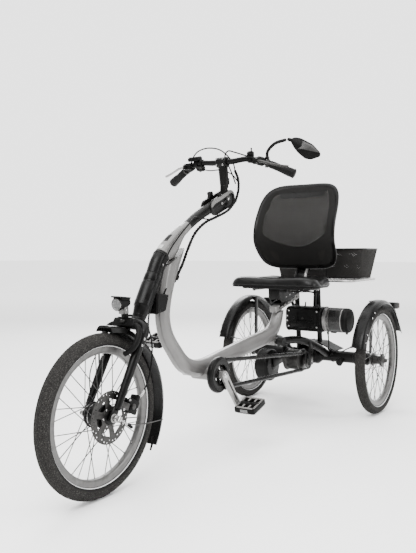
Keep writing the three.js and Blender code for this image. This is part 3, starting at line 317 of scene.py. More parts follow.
def soften(points, radius, steps=3, closed=False):
    """A polyline with its corners rounded."""
    p = np.array(points, float)
    out = []
    n = len(p)
    for i in range(n):
        if not closed and i in (0, n - 1):
            out.append(p[i])
            continue
        before, here, after = p[i - 1], p[i], p[(i + 1) % n]
        lead, tail = np.linalg.norm(before - here), np.linalg.norm(after - here)
        reach = min(radius, 0.45 * lead, 0.45 * tail)
        a = here + (before - here) / max(lead, 1e-9) * reach
        b = here + (after - here) / max(tail, 1e-9) * reach
        for k in range(steps + 1):
            w = k / steps
            out.append((1 - w) ** 2 * a + 2 * w * (1 - w) * here + w * w * b)
    return np.array(out)


def skin(rings, material, loop=False, caps=True):
    """Quads between rings of the same number of points."""
    count = len(rings[0])
    verts = np.vstack(rings)
    faces = []
    rows = len(rings) if loop else len(rings) - 1
    for i in range(rows):
        a, b = i * count, ((i + 1) % len(rings)) * count
        for j in range(count):
            k = (j + 1) % count
            faces.append((a + j, b + j, b + k, a + k))
    if caps and not loop:
        faces.append(tuple(range(count)))
        faces.append(tuple((len(rings) - 1) * count + j for j in reversed(range(count))))
    return [verts, faces, material]


def carried_frames(line):
    """A pair of directions square to a line, carried along it without twist."""
    tangents = np.gradient(line, axis=0)
    tangents /= np.linalg.norm(tangents, axis=1)[:, None]
    side = np.cross(tangents[0], [0, 0, 1.0])
    if np.linalg.norm(side) < 0.1:
        side = np.cross(tangents[0], [0, 1.0, 0])
    side /= np.linalg.norm(side)
    frames = []
    for tangent in tangents:
        side = side - tangent * (side @ tangent)
        side /= np.linalg.norm(side)
        frames.append((tangent, side, np.cross(tangent, side)))
    return frames


def tube(points, radius, material, sides=16, count=None, smooth=True, flat=1.0, ends=True):
    """A bar of round or flattened section; radius is one number or one for each point."""
    points = np.array(points, float)
    count = count or (1 if len(points) == 2 else 8 * (len(points) - 1))
    line = curve(points, count) if smooth and len(points) > 2 else points
    if len(points) == 2 and count > 1:
        line = np.linspace(points[0], points[1], count + 1)
    radii = np.atleast_1d(np.array(radius, float))
    if len(radii) == 1:
        radii = np.repeat(radii, 2)
    radii = np.interp(np.linspace(0, 1, len(line)), np.linspace(0, 1, len(radii)), radii)
    turns = round_turns(sides)
    rings = []
    frames = carried_frames(line)
    for centre_point, r, (tangent, side, up) in zip(line, radii, frames):
        rings.append(
            centre_point + r * np.outer(np.cos(turns), side) + r * flat * np.outer(np.sin(turns), up)
        )
    if ends:
        for row, sign in ((0, -1), (-1, 1)):
            edge = min(radii[row] * 0.35, 2.0)
            middle = line[row]
            tangent = frames[row][0]
            shrunk = middle + (rings[row] - middle) * (1 - edge / radii[row])
            rings[row] = rings[row] - sign * tangent * edge * 0.5
            extra = [shrunk + sign * tangent * edge * 0.1]
            rings = extra + rings if sign < 0 else rings + extra
    return skin(rings, material)


def rod(a, b, radius, material, sides=20):
    """A straight bar between two points."""
    return tube([a, b], radius, material, sides)


def cross(x0, x1, y, z, radius, material, sides=28):
    """A straight bar along X."""
    return rod((x0, y, z), (x1, y, z), radius, material, sides=sides)


def spin(profile, origin, material, axis=(1, 0, 0), segments=72, round_by=0.0, closed=False, radial=None):
    """A profile of (radius, distance along the axis) turned round an axis."""
    profile = np.array(profile, float)
    if round_by:
        profile = soften(profile, round_by, 3, closed)
    axis = np.array(axis, float) / np.linalg.norm(axis)
    side = np.cross(axis, [0, 0, 1.0]) if abs(axis[2]) < 0.9 else np.cross(axis, [1.0, 0, 0])
    side /= np.linalg.norm(side)
    up = np.cross(axis, side)
    turns = round_turns(segments)
    spokes_out = np.outer(np.cos(turns), side) + np.outer(np.sin(turns), up)
    rings = []
    for k, (r, along) in enumerate(profile):
        reach = np.full(segments, max(r, 1e-4)) if radial is None else radial(k, r, turns)
        rings.append(np.array(origin) + along * axis + spokes_out * reach[:, None])
    return skin(rings, material, loop=closed, caps=not closed)


def box(size, middle, material, tilt=0.0, edge=2.0, steps=2, yaw=0.0):
    """A block with rounded edges."""
    made = bmesh.new()
    bmesh.ops.create_cube(made, size=1)
    for v in made.verts:
        v.co = Vector((v.co.x * size[0], v.co.y * size[1], v.co.z * size[2]))
    edge = min(edge, min(size) * 0.42)
    bmesh.ops.bevel(made, geom=made.edges[:], offset=edge, segments=steps, profile=0.5, affect="EDGES")
    turn = Matrix.Rotation(yaw, 3, "Z") @ Matrix.Rotation(tilt, 3, "X")
    made.verts.index_update()
    verts = np.array([turn @ v.co + Vector(middle) for v in made.verts])
    faces = [tuple(v.index for v in f.verts) for f in made.faces]
    made.free()
    return [verts, faces, material]


def inset(ring, by):
    """A polygon drawn in by a distance; its points run anticlockwise."""
    ring = np.array(ring, float)
    ahead, behind = np.roll(ring, -1, 0) - ring, ring - np.roll(ring, 1, 0)
    normals = []
    for run in (behind, ahead):
        run = run / np.maximum(np.linalg.norm(run, axis=1), 1e-9)[:, None]
        normals.append(np.stack([-run[:, 1], run[:, 0]], 1))
    middle = normals[0] + normals[1]
    middle /= np.maximum(np.linalg.norm(middle, axis=1), 0.6)[:, None]
    return ring + middle * by


def area(ring):
    """Signed area of a flat polygon, positive when it runs anticlockwise."""
    x, y = np.array(ring, float).T
    return 0.5 * float(x @ np.roll(y, -1) - y @ np.roll(x, -1))


def plate(outline, x0, x1, material, edge=1.0, round_by=0.0):
    """A flat shape in the plane of the frame, with thickness along X and chamfered edges."""
    ring = np.array(outline, float)
    if area(ring) < 0:
        ring = ring[::-1]
    if round_by:
        ring = soften(ring, round_by, 4, closed=True)
    edge = min(edge, abs(x1 - x0) * 0.3)
    rows = [(x0, inset(ring, edge)), (x0 + edge, ring), (x1 - edge, ring), (x1, inset(ring, edge))]
    return skin([np.column_stack([np.full(len(r), x), r]) for x, r in rows], material)


def capsule(y0, z0, y1, z1, r0, r1, arcs=16):
    """Outline of two circles and the lines that join them."""
    heading = math.atan2(z1 - z0, y1 - y0)
    outline = []
    for y, z, r, start in ((y1, z1, r1, -0.5), (y0, z0, r0, 0.5)):
        for i in range(arcs + 1):
            turn = heading + math.pi * (start + i / arcs)
            outline.append((y + r * math.cos(turn), z + r * math.sin(turn)))
    return outline


def sweep(points, count, section, material, smooth=True):
    """Sweeps a section along a line in the plane of the frame.

    section(t) gives (across X, outward) pairs at a share of the length.
    """
    flat = np.array([(0, y, z) for y, z in points], float)
    line = curve(flat, count) if smooth else flat
    tangents = np.gradient(line, axis=0)
    tangents /= np.linalg.norm(tangents, axis=1)[:, None]
    rings = []
    for k, (here, along) in enumerate(zip(line, tangents)):
        left = np.array([0, -along[2], along[1]])
        pairs = np.array(section(k / (len(line) - 1)), float)
        rings.append(here + np.outer(pairs[:, 1], left) + np.outer(pairs[:, 0], [1.0, 0, 0]))
    return skin(rings, material)


def oval(width, depth, sides=32):
    """An ellipse as (across, outward) pairs."""
    turns = round_turns(sides)
    return np.stack([width / 2 * np.cos(turns), depth / 2 * np.sin(turns)], 1)


def arc_line(middle, radius, start, stop, count=64, tail=0.0):
    """An arc between two angles in degrees, with a straight tail if asked."""
    turns = np.radians(np.linspace(start, stop, count))
    line = [(middle[0] + radius * math.cos(t), middle[1] + radius * math.sin(t)) for t in turns]
    for k in range(1, 9 if tail else 1):
        step = tail * k / 8
        end = turns[-1]
        y = middle[0] + radius * math.cos(end) + step * math.sin(end)
        z = middle[1] + radius * math.sin(end) - step * math.cos(end)
        line.append((y, z))
    return line


def screw(x, y, z, radius, material=BRIGHT, side=1):
    """A domed screw head with a socket, on a face square to X."""
    out = side * 2.5
    return spin([
        (radius, 0), (radius, out * 0.4), (radius * 0.7, out), (radius * 0.36, out * 1.02),
        (radius * 0.34, out * 0.5), (0, out * 0.5),
    ], (x, y, z), material, segments=16)


def ring_bar(line, radius, sides, material, outward=0.0):
    """A closed bar of round section along a level loop of points, moved outward if asked."""
    turns = round_turns(sides)
    rings = []
    for k, here in enumerate(line):
        along = line[(k + 1) % len(line)] - line[k - 1]
        along /= np.linalg.norm(along)
        out = np.cross(along, [0, 0, 1.0])
        ring = here + out * outward + radius * np.outer(np.cos(turns), out)
        rings.append(ring + radius * np.outer(np.sin(turns), [0, 0, 1.0]))
    return skin(rings, material, loop=True)


def tidy_mesh(mesh, crease):
    """Joins double points, turns the faces outward and shades smooth up to an angle."""
    made = bmesh.new()
    made.from_mesh(mesh)
    bmesh.ops.remove_doubles(made, verts=made.verts[:], dist=2e-6)
    bmesh.ops.recalc_face_normals(made, faces=made.faces[:])
    made.to_mesh(mesh)
    made.free()
    mesh.polygons.foreach_set("use_smooth", [True] * len(mesh.polygons))
    mesh.set_sharp_from_angle(angle=math.radians(crease))


def mesh_of(name, shells, crease=38):
    """One mesh of several [points, faces, material] shells."""
    verts, faces, marks, materials = [], [], [], []
    total = 0
    for points, cells, material in shells:
        if material not in materials:
            materials.append(material)
        verts.append(np.array(points, float))
        faces += [tuple(i + total for i in cell) for cell in cells]
        marks += [materials.index(material)] * len(cells)
        total += len(points)
    places = np.vstack(verts)
    places[:, 1] += DATUM
    mesh = bpy.data.meshes.new(name)
    mesh.from_pydata((places / 1000).tolist(), [], faces)
    for material in materials:
        mesh.materials.append(material)
    mesh.polygons.foreach_set("material_index", marks)
    tidy_mesh(mesh, crease)
    return mesh


def carve(thing, shells, crease=38):
    """Cuts the shells out of a piece."""
    cutter = bpy.data.objects.new("cutter", mesh_of("cutter", shells))
    bpy.context.scene.collection.objects.link(cutter)
    step = thing.modifiers.new("cut", "BOOLEAN")
    step.operation = "DIFFERENCE"
    step.solver = "EXACT"
    step.use_self = True
    step.object = cutter
    seen = thing.evaluated_get(bpy.context.evaluated_depsgraph_get())
    made = bpy.data.meshes.new_from_object(seen)
    thing.modifiers.clear()
    thing.data = made
    bpy.data.objects.remove(cutter)
    tidy_mesh(made, crease)


def piece(name, body, shells, nodes=(), crease=38, cuts=(), ride=True):
    """A visible piece on a body, with the CAD node it replaces."""
    thing = bpy.data.objects.new(name, mesh_of(name, shells, crease))
    bpy.context.scene.collection.objects.link(thing)
    if cuts:
        carve(thing, cuts, crease)
    if ride:
        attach(thing, body)
    if nodes:
        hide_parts(*([nodes] if isinstance(nodes, str) else nodes))
    return thing


# ---------------------------------------------------------------- wheels


def tyre(name, node, body, x, y, z, radius):
    """A treaded tyre with a narrow reflective stripe on both sidewalls."""
    middle = 227.5
    tall = radius - middle
    wide = 22.8
    tread_ends = math.radians(64)
    angles = np.radians(np.concatenate([
        [-152, -148, -145], [-142, -134.5], np.linspace(-131, -66, 15), np.linspace(-61, 61, 33),
        np.linspace(66, 131, 15), [134.5, 142], [145, 148, 152],
    ]))
    profile = [(middle + tall * math.cos(a), wide * math.sin(a)) for a in angles]
    closing = [
        (203.5, 10.2), (203.5, 8), (216, 12), (228, 15), (238, 10), (240, 0), (238, -10), (228, -15),
        (216, -12), (203.5, -8), (203.5, -10.2),
    ]
    blocks = 76

    def tread(k, r, turns):
        reach = np.full(len(turns), r)
        if k < len(angles) and abs(angles[k]) < tread_ends:
            lean = abs(math.degrees(angles[k]))
            share = (turns * blocks / (2 * math.pi) + lean / 26) % 1
            grooved = (share < 0.26) & (lean > 5)
            ring_groove = min(abs(lean - 20), abs(lean - 42)) < 2.2
            reach -= np.where(grooved | ring_groove, 1.5, 0)
        return reach

    segments = blocks * 4
    verts, faces, _ = spin(
        profile + closing, (x, y, z), RUBBER, segments=segments, closed=True, radial=tread,
    )
    shells = {RUBBER: [], SIDEWALL: [], STRIPE: []}
    for i, face in enumerate(faces):
        row = i // segments
        lean = 180
        if row < len(angles) - 1:
            lean = abs(math.degrees((angles[row] + angles[row + 1]) / 2))
        kind = STRIPE if 134.5 < lean < 142 else SIDEWALL if lean > 112 else RUBBER
        shells[kind].append(face)
    return piece(
        name, body, [[verts, cells, kind] for kind, cells in shells.items()], node,
        crease=50,
    )


def spokes(x, y, z, side_x, flange, count):
    """Crossed spokes with their nipples."""
    shells = []
    lean = math.radians(55)
    for i in range(count):
        side = 1 if i % 2 == 0 else -1
        turn = 2 * math.pi * (i + 0.5) / count
        swing = lean if (i // 2) % 2 == 0 else -lean
        hub = (
            x + side * (side_x + (1.8 if swing > 0 else -1.8)), y + flange * math.cos(turn + swing),
            z + flange * math.sin(turn + swing),
        )
        end = (x + side * 2.5, y + 190 * math.cos(turn), z + 190 * math.sin(turn))
        shells.append(tube([hub, end], 1.45, SPOKE, 6, ends=False))
        out = np.array(end) - np.array(hub)
        out /= np.linalg.norm(out)
        shells.append(tube([np.array(end) - out * 10, end], 2.1, BRIGHT, 8, ends=False))
    return shells


def rim(x, y, z):
    """A hollow rim with its valve."""
    shape = [
        (187.6, 0), (188.2, 7), (191, 10.2), (196, 11.2), (203, 11.9), (209, 12.2), (210, 11.4),
        (208.6, 10.2), (203, 9.9), (200.5, 8.6), (199.6, 0),
    ]
    both = shape + [(r, -w) for r, w in reversed(shape[1:-1])]
    valve = tube([(x, y, z + 189), (x, y, z + 158)], [3, 2.6], STEEL, 10)
    return [spin(both, (x, y, z), RIM, segments=120, closed=True), valve]


def make_front_wheel():
    """Front tyre, laced rim and hub, and the plug of the hub's cable."""
    tyre("front_tyre_tread", "front_tyre", "front_wheel_body", 0, 0, FRONT_Z, FRONT_RADIUS)
    hub_shell = spin([
        (9, -45), (12.5, -45), (13, -33), (20, -31), (38, -29), (39, -22.5), (35.5, -19), (35, -16),
        (34, 0), (35, 16), (35.5, 19), (39, 22.5), (38, 29), (24, 31), (21.5, 33), (21.5, 43.5), (9, 44.5),
    ], FRONT_HUB, BLACK, round_by=1.4)
    hub_ring = [
        spin(
            [(35.4, s * 15.0), (36.2, s * 15.4), (36.2, s * 17.2), (35.4, s * 17.6)], FRONT_HUB, BRIGHT,
            closed=True,
        )
        for s in (-1, 1)
    ]
    plug_block = box((14, 26, 18), (-46, 14, FRONT_Z + 18), PLASTIC, edge=3)
    piece(
        "front_wheel_laced", "front_wheel_body",
        rim(*FRONT_HUB) + spokes(0, 0, FRONT_Z, 25, 36.5, 32) + [hub_shell, *hub_ring], "front_wheel",
    )
    piece(
        "front_hub_plug", "steering",
        [
            plug_block,
            tube([
                (-48, 20, FRONT_Z + 24), (-60, 24, FRONT_Z + 60), (-66, 30, FRONT_Z + 120),
                (-60, 60, FRONT_Z + 190),
            ], 2.0, PLASTIC, 8),
        ],
    )


def make_brake_disc():
    """Drilled and slotted brake disc with its six bolts."""
    rotor_holes = []
    for i in range(36):
        turn = 2 * math.pi * i / 36
        reach = (68.5, 73.5, 76)[i % 3] - 1
        rotor_holes.append(cross(
            36, 46, reach * math.cos(turn), FRONT_Z + reach * math.sin(turn), 2.5, STEEL, 10,
        ))
    for i in range(6):
        turn = math.pi * i / 3 + 0.2
        outline = []
        for r, spread in ((34, 0.22), (58, 0.34), (58, -0.34), (34, -0.22)):
            outline.append((r * math.cos(turn + spread), FRONT_Z + r * math.sin(turn + spread)))
        rotor_holes.append(plate(outline[::-1], 36, 46, STEEL, 0.1, round_by=4))
    rotor = spin(
        [(22.4, -0.9), (80, -0.9), (80, 0.9), (22.4, 0.9)], (41, 0, FRONT_Z), STEEL, segments=96,
        closed=True,
    )
    rotor_bolts = [
        screw(42, 28 * math.cos(t), FRONT_Z + 28 * math.sin(t), 3.4, BRIGHT)
        for t in np.arange(6) * math.pi / 3
    ]
    piece("brake_disc", "front_wheel_body", [rotor], "front_brake_rotor", cuts=rotor_holes)
    piece("brake_disc_bolts", "front_wheel_body", rotor_bolts)


def make_rear_wheel(label, side):
    """Rear wheel with its hub and half shaft."""
    x = side * HALF_TRACK
    body = f"rear_wheel_{label}_body"
    tyre(f"rear_tyre_tread_{label}", f"rear_tyre_{label}", body, x, REAR_Y, REAR_Z, REAR_RADIUS)
    hub = spin([
        (9, -28 * side), (15, -27 * side), (30, -25 * side), (31, -19 * side), (21, -15 * side), (19, 0),
        (21, 15 * side), (31, 19 * side), (30, 25 * side), (16, 28 * side), (10, 34 * side),
        (8, 44 * side), (3, 45 * side),
    ], (x, REAR_Y, REAR_Z), STEEL, round_by=1.5)
    cap = spin(
        [(9.2, 30 * side), (9.2, 38 * side), (6, 41 * side)], (x, REAR_Y, REAR_Z), CHROME, segments=6,
    )
    shaft = cross(side * 8, side * (HALF_TRACK - 20), REAR_Y, REAR_Z, 11, STEEL)
    piece(
        f"rear_wheel_laced_{label}", body,
        rim(x, REAR_Y, REAR_Z) + spokes(x, REAR_Y, REAR_Z, 21.5, 28.5, 32) + [hub, cap, shaft],
        f"rear_wheel_{label}",
    )


# ---------------------------------------------------------------- fork and what it carries


def make_fork():
    """Crown, steerer, blades and dropouts."""
    hub_back = -CROWN_Y * math.cos(RAKE) - (FRONT_Z - CROWN_Z) * math.sin(RAKE)
    hub_up = -CROWN_Y * math.sin(RAKE) + (FRONT_Z - CROWN_Z) * math.cos(RAKE)
    fork = [
        tube([
            column(-58, -22, -74), column(-56, -18, -40), column(-36, -13, -22), column(0, -11, -17),
            column(36, -13, -22), column(56, -18, -40), column(58, -22, -74),
        ], [15.8, 16, 18, 20, 18, 16, 15.8], BLACK, 32, count=60),
        spin([(22, -10), (24, -8), (24, 2), (22, 5.4), (15, 5.4)], column(0, 0, 0), BLACK, STEER_AXIS),
        rod(column(0, 0, 0), column(0, 0, 205), 13.4, STEEL),
    ]
    for side in (1, -1):
        fork.append(tube([
            column(side * 58, -21.4, -52), column(side * 58, -22, -76), column(side * 58, -25, -200),
            column(side * 57, -26, -300),
        ], [16, 15.5, 13.5, 11.5], BLACK, 28))
        fork.append(box((8, 27, 44), column(side * 54, hub_back, hub_up + 12), BLACK, -RAKE, 3))
        fork.append(spin(
            [(13.5, 0), (13.5, side * 2), (12, side * 3.2), (5.5, side * 3.2)], (side * 58, 0, FRONT_Z),
            ALLOY, segments=32,
        ))
        fork.append(screw(side * 72, column(0, -24, -70)[1], column(0, -24, -70)[2], 4.5, BRIGHT, side))
        fork.append(screw(side * 71, column(0, -24, -92)[1], column(0, -24, -92)[2], 4.5, BRIGHT, side))
    piece("fork_legs", "steering", fork, "fork")


def make_front_axle():
    """Front axle with its nut and cap."""
    axle = [
        cross(-76, 76, 0, FRONT_Z, 4.7, BRIGHT),
        spin(
            [(5, 62), (9.5, 62), (11, 64), (11, 71), (8, 74), (5, 74)], FRONT_HUB, BRIGHT, segments=36,
            round_by=0.8,
        ),
        spin([(5, -60), (9.6, -60), (9.6, -68), (7, -71), (5, -71)], FRONT_HUB, BRIGHT, segments=6),
        spin([(4.8, -71), (7, -71.5), (7, -75), (4.8, -76)], FRONT_HUB, STEEL, segments=24),
    ]
    piece("front_axle_parts", "steering", axle, "front_axle")


def make_quick_release():
    """Lever at the left end of the front axle."""
    lever = [
        rod((81, -5, FRONT_Z - 7), (81, 5, FRONT_Z + 7), 6, BRIGHT),
        tube(
            [(81, 0, FRONT_Z), (83, 14, FRONT_Z - 9), (87, 30, FRONT_Z - 21)], [5.0, 3.6, 4.2], BRIGHT, 16,
            flat=0.8,
        ),
        tube(
            [(86.5, 27, FRONT_Z - 19), (88, 38, FRONT_Z - 27), (88.5, 46, FRONT_Z - 33)], [5.4, 6.2, 5.6],
            PLASTIC, 16, flat=0.8,
        ),
    ]
    piece("quick_release_parts", "quick_release_body", lever, "quick_release_lever")


def guard_section(half, lip, thick):
    """A crowned mudguard section with lips, as one closed outline."""
    across = np.linspace(-1, 1, 14)
    drop = lip * np.abs(across) ** 4.5
    outer = [(half * a, -d) for a, d in zip(across, drop)]
    inner = [((half - thick) * a, -thick - (lip - thick - 0.3) * abs(a) ** 5) for a in across]
    bead = [(half + 0.6, -lip - 0.6)]
    return outer + bead + inner[::-1] + [(-half - 0.6, -lip - 0.6)]


def make_front_mudguard():
    """Front mudguard with its stays and flap."""
    front_guard = sweep(
        arc_line((14, 246), 276, 88, -24, 72, 34), 72,
        lambda t: guard_section(34 - 16 * max(0, t - 0.9), 20, 2.2), GUARD, smooth=False,
    )
    guard_parts = [front_guard, tube([(0, 126, 492), (0, 133, 502)], 10, GUARD)]
    for side in (1, -1):
        guard_parts.append(tube([
            (side * 74.5, 24, 236), (side * 73, 60, 222), (side * 60, 130, 206), (side * 46, 205, 196),
            (side * 34, 268, 188),
        ], 1.9, STEEL, 10))
        guard_parts.append(cross(side * 72.6, side * 76.4, 24, 236, 6, BRIGHT, 20))
        guard_parts.append(screw(side * 76, 24, 236, 4, BRIGHT, side))
    guard_parts.append(tube(
        [(0, 258, 128), (0, 254, 106), (0, 244, 84)], [6, 5, 3.5], GUARD, 14, flat=0.6,
    ))
    piece("front_mudguard_shell", "steering", guard_parts, "front_mudguard")


def make_wheel_lock():
    """Horseshoe lock behind the fork crown."""
    lock = [
        box((90, 22, 30), column(0, -53, -33), PLASTIC, -RAKE, 6, 3),
        box((60, 10, 16), column(0, -60, -24), GUARD, -RAKE, 3, 2),
        cross(-8, 8, *column(0, -66, -33)[1:], 6, STEEL),
    ]
    for side in (1, -1):
        lock.append(tube([
            column(side * 30, -53, -34), column(side * 60, -53, -48), column(side * 71, -53, -82),
            column(side * 64, -53, -114), column(side * 38, -53, -136),
        ], [10.5, 10, 9.5, 9, 8], PLASTIC, 20))
    piece("wheel_lock_body", "steering", lock, "wheel_lock")


def make_headlight():
    """Housing, hood and bracket, and the ribbed glass."""
    light_axis = np.array((0, 54, 6.0))
    headlight = [
        spin(
            [(6, 56), (13, 54), (17, 40), (20, 14), (21, 2), (20, 0), (18.4, 0.6), (18.4, 6), (3, 8)],
            (0, 78, 581), PLASTIC, light_axis, 48, round_by=1,
        ),
        box((40, 52, 5), (0, 100, 603), PLASTIC, -0.11, 2.4, 3),
        box((36, 42, 8), (0, 104, 598), PLASTIC, -0.11, 3, 3),
        spin(
            [(17.6, 1), (18.6, 1.4), (18.6, 5), (17.6, 5.4)], (0, 77, 581), BRIGHT, light_axis, 48,
            closed=True,
        ),
        box((28, 20, 24), (0, 112, 562), RIM, 0.1, 3, 2),
        box((22, 14, 18), (0, 118, 546), PLASTIC, 0.1, 3, 2),
        tube([(0, 112, 556), (0, 122, 546), (0, 150, 542)], 7, PLASTIC, 16, flat=0.6),
        cross(-17, 17, 108, 562, 3.4, BRIGHT, 12),
    ]
    piece("headlight_housing", "steering", headlight, "headlight")
    lens = [spin(
        [(17.4, 2), (17.2, -1), (14, -2.6), (9, -3.6), (0.2, -4)], (0, 80, 581.2), LENS, light_axis, 48,
    )]
    for i in range(7):
        level = (i - 3) * 4.4
        half = math.sqrt(max(16.5**2 - level**2, 1))
        lens.append(tube(
            [(-half + 1, 76.5, 581 + level), (0, 74.6, 581 + level), (half - 1, 76.5, 581 + level)], 0.9,
            LENS, 6,
        ))
    piece("headlight_glass", "steering", lens, "headlight_lens")


def make_front_caliper():
    """Disc brake caliper on the left blade."""
    caliper = [
        box((12, 50, 44), (51.5, 92, 268), PLASTIC, -0.5, 5, 3),
        box((11, 46, 40), (32, 92, 268), PLASTIC, -0.5, 5, 3),
        box((30, 16, 40), (42, 112, 280), PLASTIC, -0.5, 4, 3),
        box((6, 46, 22), (54.5, 57, 276), STEEL, -0.4, 2),
        spin([(9, 0), (9, 3), (7, 4), (3, 4)], (57, 90, 268), STEEL, segments=24, round_by=0.8),
        screw(57.5, 74, 292, 4), screw(57.5, 108, 256, 4), screw(57, 46, 268, 4.4),
        tube([(52, 112, 288), (52, 126, 292), (52, 138, 296)], 4.6, BRIGHT, 16),
    ]
    piece("front_caliper_parts", "steering", caliper, "front_brake_caliper")


def make_head_tube():
    """Turned head tube with raised collars."""
    head = spin([
        (15, 6), (22, 6), (23.5, 18), (27, 43), (28.6, 45), (30, 47), (30.2, 53), (30, 60), (29.6, 100),
        (29, 129), (28.2, 131), (27.4, 134), (27.4, 138), (28, 140), (27.2, 160), (26, 166), (15, 166),
    ], column(0, 0, 0), BLACK, STEER_AXIS, 72)
    collar = [
        spin(
            [(r - 0.8, a), (r + 0.5, a + 0.5), (r + 0.5, a + 2.2), (r - 0.8, a + 2.7)], column(0, 0, 0),
            BLACK, STEER_AXIS, 72, closed=True,
        )
        for r, a in ((29.9, 60), (23, 14), (28.6, 124))
    ]
    piece("head_tube_shell", "frame", [head, *collar], "head_tube")


def make_stem_sleeve():
    """Black sleeve between head tube and elbow."""
    sleeve = sweep(
        [(263, 671), (275, 693), (288, 713), (307, 733)], 16, lambda t: oval(51 + 4 * t, 51 + 4 * t, 48),
        BLACK,
    )
    sleeve_ring = sweep([(300, 726.5), (305, 731)], 1, lambda t: oval(56.5, 56.5, 48), BLACK, smooth=False)
    piece(
        "stem_sleeve_shell", "steering", [sleeve, sleeve_ring, screw(27, 281, 702, 4, BRIGHT)],
        "stem_sleeve",
    )


ELBOW_LINE = [(308.5, 734.6), (340, 763), (390, 800), (454, 838)]


def elbow_section(t):
    """Rounded at the lower end and with a flattened top and side ridge in the middle."""
    size = 27 - 8 * t
    square = 0.5 * math.sin(math.pi * t)
    turns = round_turns(40)
    power = 1 - 0.28 * square
    belly = 1 + 0.95 * math.sin(math.pi * min(1, 1.15 * t + 0.05)) ** 1.2
    pairs = []
    for a in turns:
        across = size * np.sign(math.cos(a)) * abs(math.cos(a)) ** power
        out = size * np.sign(math.sin(a)) * abs(math.sin(a)) ** power
        pairs.append((across, out * (belly if math.sin(a) < 0 else 1)))
    return pairs


def elbow_patch(low, high, kind):
    """A thin blank patch on the elbow's top, between two shares of its length."""
    steps = 60
    line = curve([(0, y, z) for y, z in ELBOW_LINE], steps)
    rows = []
    for k in range(int(low * steps), int(high * steps) + 1):
        along = line[min(k + 1, steps)] - line[max(k - 1, 0)]
        along /= np.linalg.norm(along)
        left = np.array([0, -along[2], along[1]])
        size = 27 - 8 * k / steps
        power = 1 - 0.14 * math.sin(math.pi * k / steps)
        row = []
        for lift in (0.5, 0.05):
            span = np.linspace(1.25, 1.9, 9)
            for a in span if lift > 0.1 else span[::-1]:
                aside = (size + lift) * np.sign(math.cos(a)) * abs(math.cos(a)) ** power
                row.append(line[k] + [aside, 0, 0] + left * (size + lift) * abs(math.sin(a)) ** power)
        rows.append(np.array(row))
    return skin(rows, kind)


def make_stem_elbow():
    """Silver elbow with three blank patches."""
    elbow = sweep(ELBOW_LINE, 40, elbow_section, SILVER)
    patches = [
        elbow_patch(0.06, 0.20, PATCH), elbow_patch(0.36, 0.56, PLASTIC), elbow_patch(0.84, 0.97, PATCH),
    ]
    piece("stem_elbow_shell", "steering", [elbow, *patches], "stem_elbow")


def make_stem_arm():
    """Black arm with two cheeks, a silver arc and the tilt joint."""
    arm = sweep(
        [(454.6, 838.4), (520, 874), (590, 906), (650, 930)], 24,
        lambda t: oval(37 + 9 * t, 37 + 3 * t, 36), BLACK,
    )
    cheek_outline = capsule(606, 912, 716, 956, 30, 31, 20)
    arm_parts = [arm]
    for side in (1, -1):
        a, b = sorted((side * 14.6, side * 21))
        arm_parts.append(plate(cheek_outline, a, b, BLACK, 1.6))
        middle = np.array((664, 935))
        outer = middle + (np.array(cheek_outline) - middle) * 0.99
        inner = middle + (np.array(cheek_outline) - middle) * 0.86
        rows = ((20.8, outer), (23.6, outer), (24, (outer + inner) / 2), (23.4, inner), (20.8, inner))
        rim_rows = [np.column_stack([np.full(len(row), side * x), row]) for x, row in rows]
        arm_parts.append(skin(rim_rows, BLACK, loop=True))
    strip = []
    whole_outline = np.array(capsule(606, 912, 716, 956, 29, 30, 20))
    upper = [p for p in whole_outline if (p[1] - 934) - 0.4 * (p[0] - 661) > 6]
    upper.sort(key=lambda p: p[0])
    for k, p in enumerate(upper):
        share = k / (len(upper) - 1)
        off = p[0] - 664
        inward = np.array((664 + 0.3 * off, 930 + 0.12 * off)) - p
        inward /= np.linalg.norm(inward)
        wide = 9 + 15 * math.sin(math.pi * min(max(share * 1.15, 0), 1)) ** 0.7
        q = p + inward * wide
        strip.append(np.array([
            (20.9, *p), (25.2, *(p + inward * 0.6)), (25.2, *(q - inward * 0.6)), (20.9, *q),
        ]))
    arm_parts.append(skin(strip, SILVER))
    arm_parts += [
        cross(-24, 25.5, *STEM_PIVOT, 6.2, BRIGHT), cross(20, 23.6, *STEM_PIVOT, 15, STEEL, 40),
        cross(-23.6, -20, *STEM_PIVOT, 15, STEEL, 40), box((5, 34, 9), (22.5, 668, 936), STEEL, 0.38, 2),
        box((5, 10, 22), (23, 684, 940), PLASTIC, 0.3, 2), screw(23.6, 652, 930, 5, BRIGHT),
        plate(capsule(630, 940, 640, 968, 12, 9), -26, -14, BLACK, 1.2),
        spin(
            [(3, -34), (7, -33), (8, -30), (8, -25), (5, -23)], (0, 640, 968), PLASTIC, segments=24,
            round_by=1,
        ),
        spin([(3, 26), (8, 26), (8.6, 22), (8, 15)], (0, 636, 962), PLASTIC, segments=24),
    ]
    piece("stem_arm_shell", "steering", arm_parts, "stem_arm")


# ---------------------------------------------------------------- handlebar post, bar and controls


